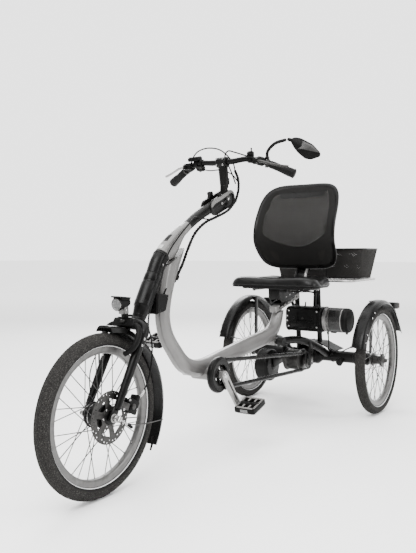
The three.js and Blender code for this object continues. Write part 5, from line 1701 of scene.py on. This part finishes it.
def make_battery_dock():
    """Dock with its front panel, screws and key."""
    face_y = BATTERY_Y - 56
    dock = [
        plate(dock_outline(56, 16), -38, 138, PLASTIC, 3, round_by=5),
        box((150, 23, 80), (15, 1427.6, BATTERY_Z), PLASTIC, 0, 3),
        plate(dock_outline(57.2, 16), 126, 137, GUARD, 1.4, round_by=5),
        plate(dock_outline(57, 16), -34, -24, GUARD, 1.4, round_by=5),
        plate([
            (face_y - 1.4, BATTERY_Z + 46), (face_y + 6, BATTERY_Z + 46), (face_y + 6, BATTERY_Z - 44),
            (face_y - 1.4, BATTERY_Z - 44),
        ], -22, 116, PLASTIC, 1),
        box((118, 2.2, 30), (48, face_y - 1.6, BATTERY_Z - 26), GUARD, 0, 0.9, 2),
    ]
    for dx, dz in ((-26, 38), (114, 38), (-26, -34), (114, -34), (-34, 14), (-34, -8)):
        dock.append(spin(
            [(4.6, 0), (4.6, -1.4), (3, -3), (0.4, -3.2)], (dx + 6, face_y - 1, BATTERY_Z + dz), BRIGHT,
            (0, 1, 0), 18,
        ))
    for dx in (4, 92):
        dock.append(spin(
            [(7, 0), (7, -1.6), (4.4, -1.8), (4, -0.4), (0.4, -0.4)], (dx, face_y - 1.2, BATTERY_Z + 6),
            GUARD, (0, 1, 0), 24,
        ))
    dock.append(spin([(3.4, 0), (3.4, 20), (2.6, 24)], (44, 1346, BATTERY_Z + 55), STEEL, (0.1, 0, 1), 16))
    dock.append(spin([(5, 0), (4.4, 3)], (48, face_y - 0.2, BATTERY_Z + 4), STEEL, (0, 1, 0), 18))
    dock_cuts = [
        cross(20, 150, BATTERY_Y, BATTERY_Z, 47, BLACK, 64),
        box((52, 9, 40), (47, face_y - 0.4, BATTERY_Z + 12), BLACK, 0, 1, 1),
    ]
    piece("battery_dock_case", "frame", dock[:5], "battery_dock", cuts=dock_cuts)
    piece("battery_dock_fittings", "frame", dock[5:])


def make_battery():
    """Can-shaped battery with its neck, bands and drum end."""
    can_origin = (24, BATTERY_Y, BATTERY_Z)
    can = [
        spin([(1, 0), (42, 0), (46, 3), (46, 114)], can_origin, STEEL, segments=64),
        spin(
            [(40, 115), (52, 117), (54.4, 120), (54.4, 125), (56, 129), (56, 150)], can_origin, ALLOY,
            segments=96, round_by=1,
        ),
        spin([(50, 136), (56, 137), (56, 212), (55, 213)], can_origin, CAN, segments=96),
        spin([
            (50, 210), (55.4, 212), (56, 214), (56, 217), (55.2, 218), (55.8, 219), (56, 227), (54, 233),
            (49, 237), (1, 238),
        ], can_origin, PLASTIC, segments=96, round_by=1),
        spin(
            [(55.2, 205), (56.3, 206), (56.3, 208.6), (55.2, 209.6)], can_origin, ALLOY, segments=96,
            closed=True,
        ),
        box((26, 12, 5), (184, BATTERY_Y - 8, BATTERY_Z - 57), STEEL, 0, 1.6),
        box((10, 10, 10), (246, BATTERY_Y - 6, BATTERY_Z - 58), STEEL, 0, 2),
    ]
    piece("battery_can", "battery_body", can, "battery")


def make_rear_cable():
    """Cable from the dock to the left hub plate."""
    rear_cable_route = [
        (150, 1366, 380), (150, 1374, 345), (140, 1400, 308), (125, 1428, 291), (135, 1437, 283),
        (160, 1422, 283), (205, 1386, 288), (255, 1335, 312), (301, 1290, 332),
    ]
    piece(
        "rear_cable_hose", "frame",
        [
            tube(rear_cable_route, 2.8, PLASTIC, 12, count=120),
            rod((150, 1365, 384), (150, 1368, 368), 5, PLASTIC),
        ],
        "rear_cable",
    )


# ---------------------------------------------------------------- rack and basket


def make_rack():
    """Closed rail with three cross bars."""
    rack_corners = [(-244, 1416, 613), (244, 1416, 613), (228, 1794, 613), (-228, 1794, 613)]
    rounded = soften(rack_corners, 46, 10, closed=True)
    rack = [ring_bar(rounded, 5.9, 18, BRIGHT)]
    for y in (1458, 1600, 1720):
        reach = 244 - 16 * (y - 1416) / 378 - 2
        rack.append(tube([(-reach, y, 613), (reach, y, 613)], 5.4, BRIGHT, 16))
    rack.append(box((140, 26, 4), (0, 1458, 607), BLACK, 0, 1.4))
    piece("rack_tubes", "frame", rack, "rack")


BASKET = {
    "low": 622.5, "high": 764, "front": 1574, "rear": 1774, "half_low": 214, "half_high": 243.5,
    "lean": 12,
}


def basket_point(share, level):
    """A point on the wall: share runs once round it, level from the floor to the rim."""
    half = BASKET["half_low"] + (BASKET["half_high"] - BASKET["half_low"]) * level
    front = BASKET["front"] + BASKET["lean"] * (1 - level)
    rear = BASKET["rear"] - BASKET["lean"] * (1 - level)
    corners = soften([(-half, front), (half, front), (half, rear), (-half, rear)], 26, 5, closed=True)
    line = np.vstack([corners, corners[:1]])
    steps = np.concatenate([[0], np.cumsum(np.linalg.norm(np.diff(line, axis=0), axis=1))])
    d = (share % 1) * steps[-1]
    return np.array((
        np.interp(d, steps, line[:, 0]), np.interp(d, steps, line[:, 1]),
        BASKET["low"] + (BASKET["high"] - BASKET["low"]) * level,
    ))


def make_basket():
    """Fine wires, floor, rims and corner bars."""
    uprights = 268
    low_ring = [basket_point(k / uprights, 0) for k in range(uprights)]
    high_ring = [basket_point(k / uprights, 1) for k in range(uprights)]
    basket = []
    for a, b in zip(low_ring, high_ring):
        basket.append(tube([a, b], 2.0, WIRE, 4, ends=False))
    for level in np.linspace(0, 1, 41)[1:-1]:
        basket.append(ring_bar([basket_point(k / 96, level) for k in range(96)], 1.5, 4, WIRE))
    low = BASKET["low"]
    floor_half = BASKET["half_low"] - 1
    floor_front = BASKET["front"] + 13
    floor_rear = BASKET["rear"] - 13
    for x in np.arange(-floor_half, floor_half + 1, 7):
        basket.append(tube([(x, floor_front, low), (x, floor_rear, low)], 1.2, WIRE, 4, ends=False))
    for y in np.arange(floor_front, floor_rear + 1, 7):
        basket.append(tube([(-floor_half, y, low), (floor_half, y, low)], 1.2, WIRE, 4, ends=False))
    for level, r in ((1.0, 3.4), (0.0, 2.6), (0.93, 1.6)):
        basket.append(ring_bar([basket_point(k / 160, level) for k in range(160)], r, 12, BLACK))
    for share in (0.03, 0.44, 0.5, 0.97, 0.235, 0.735):
        basket.append(tube([basket_point(share, 0), basket_point(share, 1)], 1.9, BLACK, 10))
    piece("basket_wires", "frame", basket, "basket")


# ---------------------------------------------------------------- seat


def make_seat_rail():
    """Slotted rail under the seat and its end plug."""
    slots_cut = [
        box((60, 16, 8), rail(0, along, 0), BLACK, RAIL_TILT, 2, 2)
        for along in (-80, -45, -10, 25, 60, 92)
    ]
    piece(
        "seat_rail_bar", "frame",
        [
            box((32, 236, 26), rail(0, 0, 0), ALLOY, RAIL_TILT, 2.4, 3),
            box((20, 50, 9.6), rail(0, -74, -14), ALLOY, RAIL_TILT, 1.2),
        ],
        "seat_rail", cuts=slots_cut,
    )
    piece("seat_rail_plug", "frame", [box((28, 6, 22), rail(0, -119, 0), SILVER, RAIL_TILT, 2, 2)])


def make_seat_carriage():
    """Carriage on the rail and the pan under the cushion."""
    carriage = [
        box((4.6, 150, 16), rail(20, -8, 12), BLACK, RAIL_TILT, 1.6),
        box((4.6, 150, 16), rail(-20, -8, 12), BLACK, RAIL_TILT, 1.6),
        box((44, 150, 4.6), rail(0, -8, 17.5), BLACK, RAIL_TILT, 1.6),
        box((46, 54, 50), (0, 1142, 562), BLACK, 0, 4, 3),
        box((300, 268, 9), (0, 1231, 588.6), BLACK, 0, 3, 2),
    ]
    for side in (1, -1):
        a, b = sorted((side * 22.6, side * 28))
        carriage.append(plate(
            [(1150, 522), (1282, 550), (1290, 586), (1150, 586)], a, b, BLACK, 1.2, round_by=6,
        ))
        carriage.append(plate(
            [(1118, 540), (1150, 520), (1166, 536), (1166, 586), (1116, 586)], a - side * 0.6,
            b - side * 0.6, BLACK, 1.2, round_by=5,
        ))
        lug = sorted((side * 60.6, side * 69.8))
        carriage.append(plate(capsule(1356, 590, *BACK_PIVOT, 6, 11, 14), *lug, BLACK, 1.2))
        carriage.append(box((12, 200, 10), (side * 118, 1240, 580), BLACK, 0, 2.4, 2))
        for y in (1150, 1320):
            carriage.append(spin([(5, 0), (5, -4), (3, -5)], (side * 118, y, 576), BRIGHT, (0, 0, 1), 12))
        for k in range(3):
            carriage.append(screw(b if side > 0 else a, 1180 + 36 * k, 548 + 8 * k, 4.2, BRIGHT, side))
    piece("seat_carriage_parts", "seat", carriage, "seat_carriage")


def cushion_outline(count):
    """The cushion seen from above: broad rounded front, narrower back with a notch."""
    half = [
        (0, 1093), (60, 1090), (120, 1084), (168, 1081), (200, 1092), (211, 1122), (207, 1170),
        (194, 1230), (180, 1290), (168, 1338), (158, 1362), (138, 1372), (92, 1372), (80, 1366),
        (78, 1356), (60, 1354), (0, 1354),
    ]
    right = [(-x, y) for x, y in reversed(half[1:-1])]
    return curve([(x, y, 0) for x, y in half + right + half[:1]], count)[:-1, :2]


BASE_Z = 594.6
TOP_Z = 640.0
SEAT_LINE = cushion_outline(160)
SEAT_MIDDLE = np.array((0, 1225.0))


def cushion_height(x, y):
    """Top of the cushion: crowned front lobes, a dished middle and a raised back edge."""
    across = x / 205
    along = (y - 1084) / 288
    swell = math.sin(math.pi * min(max(along * 1.02, 0), 1)) ** 0.8
    dish = 13 * math.exp(-((across * 1.35) ** 2)) * swell
    nose = 6.0 * math.exp(-((along - 0.13) / 0.12) ** 2) * (0.35 + 0.65 * min(abs(across) * 1.6, 1))
    waist = 7.0 * math.exp(-((along - 0.38) / 0.13) ** 2) * (0.3 + 0.7 * min(abs(across), 1))
    tail = 5.0 * min(abs(across) * 1.3, 1) * math.exp(-((along - 0.93) / 0.10) ** 2)
    return TOP_Z - 6.2 - dish + nose - waist + tail - 8 * max(0, abs(across) - 0.82) * 5


CUSHION_TOP_LIMIT = 0.6435


def puff(thing, voxel, cap, pressure):
    """Inflates a closed pad as cloth and smooths it.

    No point ends further than cap from where it was.
    """
    frames = 20
    step = thing.modifiers.new("cells", "REMESH")
    step.mode = "VOXEL"
    step.voxel_size = voxel
    dense = bpy.data.meshes.new_from_object(thing.evaluated_get(bpy.context.evaluated_depsgraph_get()))
    thing.modifiers.clear()
    materials = list(thing.data.materials)
    thing.data = dense
    dense.materials.clear()
    for material in materials:
        dense.materials.append(material)
    start = np.zeros(len(dense.vertices) * 3, np.float32)
    dense.vertices.foreach_get("co", start)
    start = start.reshape(-1, 3)
    floor_level = start[:, 2].min()
    held = thing.vertex_groups.new(name="held")
    for i in np.where(start[:, 2] < floor_level + 0.004)[0]:
        held.add([int(i)], 1.0, "REPLACE")
    cloth = thing.modifiers.new("cloth", "CLOTH")
    cloth.settings.quality = 6
    cloth.settings.mass = 0.3
    cloth.settings.tension_stiffness = 15
    cloth.settings.compression_stiffness = 15
    cloth.settings.bending_stiffness = 4
    cloth.settings.use_pressure = True
    cloth.settings.uniform_pressure_force = pressure
    cloth.settings.vertex_group_mass = "held"
    cloth.settings.effector_weights.gravity = 0
    cloth.collision_settings.use_self_collision = False
    cloth.point_cache.frame_start = 1
    cloth.point_cache.frame_end = frames
    for number in range(1, frames + 1):
        bpy.context.scene.frame_set(number)
    seen = thing.evaluated_get(bpy.context.evaluated_depsgraph_get())
    made = bpy.data.meshes.new_from_object(seen)
    thing.modifiers.clear()
    bpy.context.scene.frame_set(1)
    end = np.zeros(len(made.vertices) * 3, np.float32)
    made.vertices.foreach_get("co", end)
    end = end.reshape(-1, 3)
    move = end - start
    far = np.linalg.norm(move, axis=1)[:, None]
    place = start + move * np.minimum(1, cap / np.maximum(far, 1e-9))
    place[:, 2] = np.clip(place[:, 2], floor_level, CUSHION_TOP_LIMIT)
    made.vertices.foreach_set("co", place.ravel())
    made.materials.clear()
    for material in materials:
        made.materials.append(material)
    thing.data = made
    thing.vertex_groups.clear()
    made.polygons.foreach_set("use_smooth", [True] * len(made.polygons))
    relax = thing.modifiers.new("relax", "SMOOTH")
    relax.iterations = 6
    relax.factor = 0.5
    finer = thing.modifiers.new("finer", "SUBSURF")
    finer.levels = 1
    finer.render_levels = 1


def make_seat_cushion():
    """Padded cushion, inflated as cloth."""
    cushion_rings = []
    levels = [
        (0.94, 0.0), (0.98, 0.03), (0.998, 0.13), (1.0, 0.26), (0.988, 0.44), (0.966, 0.62), (0.935, 0.79),
        (0.895, 0.93),
    ]
    for share, rise in levels:
        ring = []
        for x, y in SEAT_LINE:
            px, py = SEAT_MIDDLE + ((x, y) - SEAT_MIDDLE) * (1 - (1 - share) * 0.72)
            top = cushion_height(px, py)
            ring.append((px, py, BASE_Z + (top - BASE_Z) * rise))
        cushion_rings.append(np.array(ring))
    for share in (0.84, 0.76, 0.66, 0.54, 0.40, 0.26, 0.13, 0.02):
        ring = []
        for x, y in SEAT_LINE:
            px, py = SEAT_MIDDLE + ((x, y) - SEAT_MIDDLE) * share
            ring.append((px, py, cushion_height(px, py)))
        cushion_rings.append(np.array(ring))

    seat_pad = piece(
        "seat_pad", "seat", [skin(cushion_rings, VINYL)], "seat_cushion", crease=80,
    )
    puff(seat_pad, 0.005, 0.006, 1.2)


def make_seat_welt():
    """Piping round the cushion and the shell below it."""
    welt = [np.array((x, y, BASE_Z + 7)) for x, y in SEAT_LINE]
    piece("seat_welt", "seat", [ring_bar(welt, 2.0, 10, VINYL, outward=0.4)])
    seat_base = []
    for share, z in ((0.93, 590.5), (0.985, 591.5), (0.99, 600), (0.96, 601)):
        ring = SEAT_MIDDLE + (SEAT_LINE - SEAT_MIDDLE) * (1 - (1 - share) * 0.8)
        seat_base.append(np.column_stack([ring, np.full(len(ring), z)]))
    piece("seat_base_shell", "seat", [skin(seat_base, PLASTIC)])


def make_seat_lever():
    """Lever that frees the seat."""
    lever_parts = [
        rod((40, 1196, 567), (40, 1196, 583), 8, STEEL),
        tube([(40, 1196, 572), (90, 1195, 571), (130, 1192, 573), (150, 1188, 572)], 3.6, STEEL, 14),
        tube([(146, 1189, 572), (160, 1187, 571), (174, 1184, 570)], [5, 6.4, 5.4], PLASTIC, 16, flat=0.7),
    ]
    piece("seat_lever_arm", "seat_lever_body", lever_parts, "seat_lever")


# ---------------------------------------------------------------- backrest

BACK_LOW = 668
BACK_HIGH = 1074
BACK_HALF = 207
WING = 34
POWER = 0.4
SPINE = curve(
    [(0, 1404, 668), (0, 1368, 730), (0, 1326, 800), (0, 1330, 870), (0, 1376, 970), (0, 1430, 1074)], 400,
)


def back_point(x, z, push):
    """A point of the curved backrest, whose wings come forward, pushed back by a depth."""
    y = np.interp(z, SPINE[:, 2], SPINE[:, 1]) - WING * (x / BACK_HALF) ** 2 + push
    return np.array((x, y, z))


def back_outline(turn, share):
    """Outline of the backrest as (x, z), a rounded square that narrows upward."""
    def bulge(v):
        return math.copysign(abs(v) ** POWER, v)

    middle = (BACK_LOW + BACK_HIGH) / 2
    tall = (BACK_HIGH - BACK_LOW) / 2 - BACK_HALF * (1 - share)
    narrow = 1 - 0.07 * max(0, math.sin(turn))
    return BACK_HALF * share * narrow * bulge(math.cos(turn)), middle + tall * bulge(math.sin(turn))


def half_width(z, share):
    """Half the width of the outline at a height."""
    middle = (BACK_LOW + BACK_HIGH) / 2
    tall = (BACK_HIGH - BACK_LOW) / 2 - BACK_HALF * (1 - share)
    rise = min(abs(z - middle) / tall, 1)
    narrow = 1 - 0.07 * max(0, (z - middle) / tall)
    return BACK_HALF * share * narrow * (1 - rise ** (2 / POWER)) ** (POWER / 2)


def even_turns(count):
    """Angles that space the outline's points evenly along it."""
    fine = np.linspace(0, 2 * math.pi, 4001)
    line = np.array([back_outline(t, 1) for t in fine])
    run = np.concatenate([[0], np.cumsum(np.linalg.norm(np.diff(line, axis=0), axis=1))])
    return np.interp(np.linspace(0, run[-1], count + 1)[:-1], run, fine)


def back_rim():
    """Moulded rim of the backrest."""
    rim_rings = []
    for turn in even_turns(150):
        section = []
        for share, push in (
            (1.0, 8), (0.998, 3.5), (0.985, 1.2), (0.955, 0.4), (0.925, 0.4), (0.902, 1.6), (0.897, 8),
            (0.905, 15), (0.93, 17), (0.97, 17), (0.995, 13.5),
        ):
            x, z = back_outline(turn, share)
            section.append(back_point(x, z, push))
        rim_rings.append(np.array(section))
    return skin(rim_rings, BLACK, loop=True)


def slab(plan, front, back, across, up, material):
    """A curved slab that follows the backrest between two depths."""
    rings = []
    for j in range(up + 1):
        near = [back_point(*plan(i / across, j / up), front) for i in range(across + 1)]
        far = [back_point(*plan(i / across, j / up), back) for i in reversed(range(across + 1))]
        rings.append(np.array(near + far))
    return skin(rings, material)


def smile(x):
    """Height of the border's upper edge, which dips in the middle."""
    return 772 + 78 * (x / 180) ** 2


def lumbar(u, v):
    """The slab behind the lower back."""
    x = (2 * u - 1) * half_width(684 + 70 * v, 0.9)
    return x, 684 + (smile(x) - 694) * v


def header(u, v):
    """The slab along the top."""
    x = (2 * u - 1) * (112 + 18 * v)
    return x, 1006 + 46 * v


def make_back_frame():
    """Rim with its lumbar slab, header and lower bars."""
    back_shell = [
        back_rim(), slab(lumbar, 11, 17.5, 48, 14, BLACK), slab(header, 2.4, 7, 24, 6, BLACK),
        slab(
            lambda u, v: ((2 * u - 1) * half_width(676 + 14 * v, 0.95), 676 + 14 * v), 5, 15, 40, 3, BLACK,
        ),
        tube([
            back_point(-176, 790, 14), back_point(-120, 762, 17), back_point(0, 744, 18),
            back_point(120, 762, 17), back_point(176, 790, 14),
        ], [5, 7, 9, 7, 5], BLACK, 16, count=40),
    ]
    piece("back_frame_shell", "backrest", back_shell, "back_frame", crease=55)


def net(plan, push, columns, rows, open_share, material):
    """A perforated sheet of knitted mesh: each cell keeps its threads and loses its middle."""
    verts = []
    faces = []
    wide = columns + 1
    for j in range(rows + 1):
        verts += [back_point(*plan(i / columns, j / rows), push) for i in range(wide)]
    for j in range(rows):
        for i in range(columns):
            first = j * wide + i
            ids = [first, first + 1, first + wide + 1, first + wide]
            corners = [verts[k] for k in ids]
            middle = sum(corners) / 4
            share = open_share(i / columns, j / rows)
            if share <= 0:
                faces.append(tuple(ids))
                continue
            base = len(verts)
            verts.extend(middle + (c - middle) * share for c in corners)
            for k in range(4):
                m = (k + 1) % 4
                faces.append((ids[k], ids[m], base + m, base + k))
    return [np.array(verts), faces, material]


def net_plan(u, v):
    """The net inside the rim, from the foot to the top."""
    middle = (BACK_LOW + BACK_HIGH) / 2
    reach = (BACK_HIGH - BACK_LOW) / 2 - BACK_HALF * 0.075
    z = middle - reach * 0.995 * math.cos(math.pi * (0.04 + 0.92 * v)) / math.cos(math.pi * 0.04)
    z = middle + (z - middle) * 0.985
    return (2 * u - 1) * half_width(z, 0.925), z


def make_back_net():
    """Net stretched in the backrest."""
    mesh_panel = piece(
        "back_net", "backrest", [net(net_plan, 3.4, 120, 124, lambda u, v: 0.1, NET)], "back_mesh",
        crease=80,
    )


def border_plan(side):
    """The border along one side."""

    def plan(u, v):
        z = 690 + (1046 - 690) * v
        outer = half_width(z, 0.955)
        inner = half_width(z, 0.955) - (34 if z > 850 else 34 + (850 - z) * 0.16)
        return side * (inner + (outer - inner) * u), z

    return plan


def lower_plan(u, v):
    """The border's lower part, up to the dipped edge."""
    x = (2 * u - 1) * half_width(690 + 60 * v, 0.94)
    top = smile(x)
    return x, 684 + (top - 684) * v


def make_back_border():
    """Black border sewn round the net, with a net patch at each lower side."""
    border = [net(border_plan(s), 0.6, 10, 60, lambda u, v: 0, BORDER) for s in (1, -1)]
    border.append(net(lower_plan, 1.8, 60, 24, lambda u, v: 0, BORDER))
    border.append(net(
        lambda u, v: ((2 * u - 1) * half_width(1034 + 26 * v, 0.95), 1034 + 26 * v), 1.0, 60, 5,
        lambda u, v: 0, BORDER,
    ))
    for side in (1, -1):
        border.append(net(
            lambda u, v: (side * (104 + 50 * u), 712 + 40 * v + (u - 0.5) * 10), 0.9, 16, 12,
            lambda u, v: 0 if (2 * u - 1) ** 4 + (2 * v - 1) ** 4 > 0.9 else 0.14, NET,
        ))
    border_piece = piece("back_border", "backrest", border, crease=80)


def make_back_bracket():
    """Bent plate that carries the backrest."""
    bracket_line = [(1384, 604), (1394, 640), (1430, 680), (1414, 722), (1377, 762)]
    bracket = [
        cross(-59.2, 59.2, *BACK_PIVOT, 9.4, BLACK, 32), cross(-71, 71, *BACK_PIVOT, 4, BRIGHT),
        sweep(
            bracket_line, 40,
            lambda t: soften([(-33, -4.6), (33, -4.6), (33, 4.6), (-33, 4.6)], 3, 2, True), BLACK,
        ),
    ]
    for side in (1, -1):
        bracket.append(tube(
            [(side * 24, 1384, 604), (side * 24, 1390, 640), (side * 22, 1426, 680)], 7,
            ALLOY if side > 0 else BLACK, 16,
        ))
        for z, y in ((746, 1388), (726, 1404)):
            bracket.append(spin(
                [(5, 0), (5, 3), (3, 5)], (side * 18, y + 4, z), BRIGHT, (0, 0.85, 0.5), 12,
            ))
    piece("back_bracket_parts", "backrest", bracket, "back_bracket")


# ---------------------------------------------------------------- floor, light and camera

BACKDROP_WAY = (-0.554, 0.832, 0)


def floor_finish():
    """A pale matt floor that lightens far away to meet the bright backdrop."""
    material = finish("pale_floor", (0.96, 0.96, 0.955), (0.96, 0.96, 0.955), 0.95, 0, 3, bump=0.0)
    nodes, links = material.node_tree.nodes, material.node_tree.links
    place = nodes.new("ShaderNodeTexCoord")
    along = nodes.new("ShaderNodeVectorMath")
    along.operation = "DOT_PRODUCT"
    along.inputs[1].default_value = BACKDROP_WAY
    links.new(place.outputs["Object"], along.inputs[0])
    glow = nodes.new("ShaderNodeMapRange")
    glow.interpolation_type = "SMOOTHSTEP"
    glow.inputs["From Min"].default_value = 1.6
    glow.inputs["From Max"].default_value = 9
    glow.inputs["To Min"].default_value = 0
    glow.inputs["To Max"].default_value = 1.1
    links.new(along.outputs["Value"], glow.inputs["Value"])
    shader = nodes["Principled BSDF"]
    shader.inputs["Emission Color"].default_value = (1, 1, 1, 1)
    links.new(glow.outputs["Result"], shader.inputs["Emission Strength"])
    return material


def make_floor(level):
    """Wide floor below the tricycle."""
    floor_mesh = bpy.data.meshes.new("floor")
    floor_mesh.from_pydata([(-60, -60, 0), (60, -60, 0), (60, 60, 0), (-60, 60, 0)], [], [(0, 1, 2, 3)])
    floor = bpy.data.objects.new("floor", floor_mesh)
    floor.location.z = level
    floor_mesh.materials.append(floor_finish())
    bpy.context.scene.collection.objects.link(floor)
    floor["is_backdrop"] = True


def make_world():
    """Sky that is brightest where the backdrop would stand."""
    world = bpy.data.worlds.new("studio")
    world.use_nodes = True
    nodes, links = world.node_tree.nodes, world.node_tree.links
    sky = nodes["Background"]
    sky.inputs["Color"].default_value = (1, 1, 1, 1)
    aim = nodes.new("ShaderNodeTexCoord")
    facing = nodes.new("ShaderNodeVectorMath")
    facing.operation = "DOT_PRODUCT"
    facing.inputs[1].default_value = BACKDROP_WAY
    level = nodes.new("ShaderNodeMapRange")
    level.interpolation_type = "SMOOTHSTEP"
    level.inputs["From Min"].default_value = 0.1
    level.inputs["From Max"].default_value = 0.75
    level.inputs["To Min"].default_value = 0.7
    level.inputs["To Max"].default_value = 2.8
    links.new(aim.outputs["Generated"], facing.inputs[0])
    links.new(facing.outputs["Value"], level.inputs["Value"])
    links.new(level.outputs["Result"], sky.inputs["Strength"])
    bpy.context.scene.world = world


def softbox(name, place, target, size, power):
    """A rectangular lamp that faces a target."""
    lamp = bpy.data.lights.new(name, "AREA")
    lamp.shape = "RECTANGLE"
    lamp.size, lamp.size_y = size
    lamp.energy = power
    thing = bpy.data.objects.new(name, lamp)
    thing.location = place
    thing.rotation_euler = (Vector(target) - Vector(place)).to_track_quat("-Z", "Y").to_euler()
    bpy.context.scene.collection.objects.link(thing)


def make_lights(low, high):
    """Four soft lamps round the tricycle."""
    middle = (low + high) / 2
    softbox("key", (middle.x + 0.4, middle.y - 3.0, 3.6), middle, (2.6, 2.0), 230)
    softbox("top", (middle.x, middle.y - 0.6, 4.6), middle, (5.5, 5.5), 380)
    softbox("side", (middle.x + 3.4, middle.y + 0.6, 1.8), middle, (1.4, 2.6), 110)
    softbox("back", (middle.x - 2.4, middle.y + 2.6, 2.6), middle, (2.0, 1.6), 90)


CAMERA_PLACE = (1.3563, -2.2217, 0.7371)
CAMERA_DOWN = math.radians(1.94)
CAMERA_HEADING = math.radians(33.64)


def make_camera():
    """The photo's view."""
    lens_data = bpy.data.cameras.new("camera")
    lens_data.sensor_width = 36
    lens_data.lens = 42.565
    camera = bpy.data.objects.new("camera", lens_data)
    camera.location = CAMERA_PLACE
    camera.rotation_euler = (math.radians(90) - CAMERA_DOWN, 0, CAMERA_HEADING)
    bpy.context.scene.collection.objects.link(camera)
    bpy.context.scene.camera = camera


# ---------------------------------------------------------------- build

make_front_wheel()
make_brake_disc()
for label, side in SIDES:
    make_rear_wheel(label, side)
make_fork()
make_front_axle()
make_quick_release()
make_front_mudguard()
make_wheel_lock()
make_headlight()
make_front_caliper()
make_head_tube()
make_stem_sleeve()
make_stem_elbow()
make_stem_arm()
make_handlebar_post()
make_handlebar()
for label, side in SIDES:
    make_grip(label, side)
    make_hand_controls(label, side)
    make_brake_lever(label, side)
make_shift_lever()
make_mirror_stalk()
make_mirror_head()
make_main_frame()
make_junction_box()
make_cable_bundle()
make_hose_and_bar_cables()
make_cranks()
for label, side in SIDES:
    make_pedal(label, side)
make_chain_guard()
make_chain()
make_gear_hub()
make_drive_motor()
make_rear_frame()
make_rear_cover()
for label, side in SIDES:
    make_rear_mudguard(label, side)
    make_tail_light(label, side)
make_battery_dock()
make_battery()
make_rear_cable()
make_rack()
make_basket()
make_seat_rail()
make_seat_carriage()
make_seat_cushion()
make_seat_welt()
make_seat_lever()
make_back_frame()
make_back_net()
make_back_border()
make_back_bracket()

low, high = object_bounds()
make_floor(low.z)
make_world()
make_lights(low, high)
make_camera()

low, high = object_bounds()
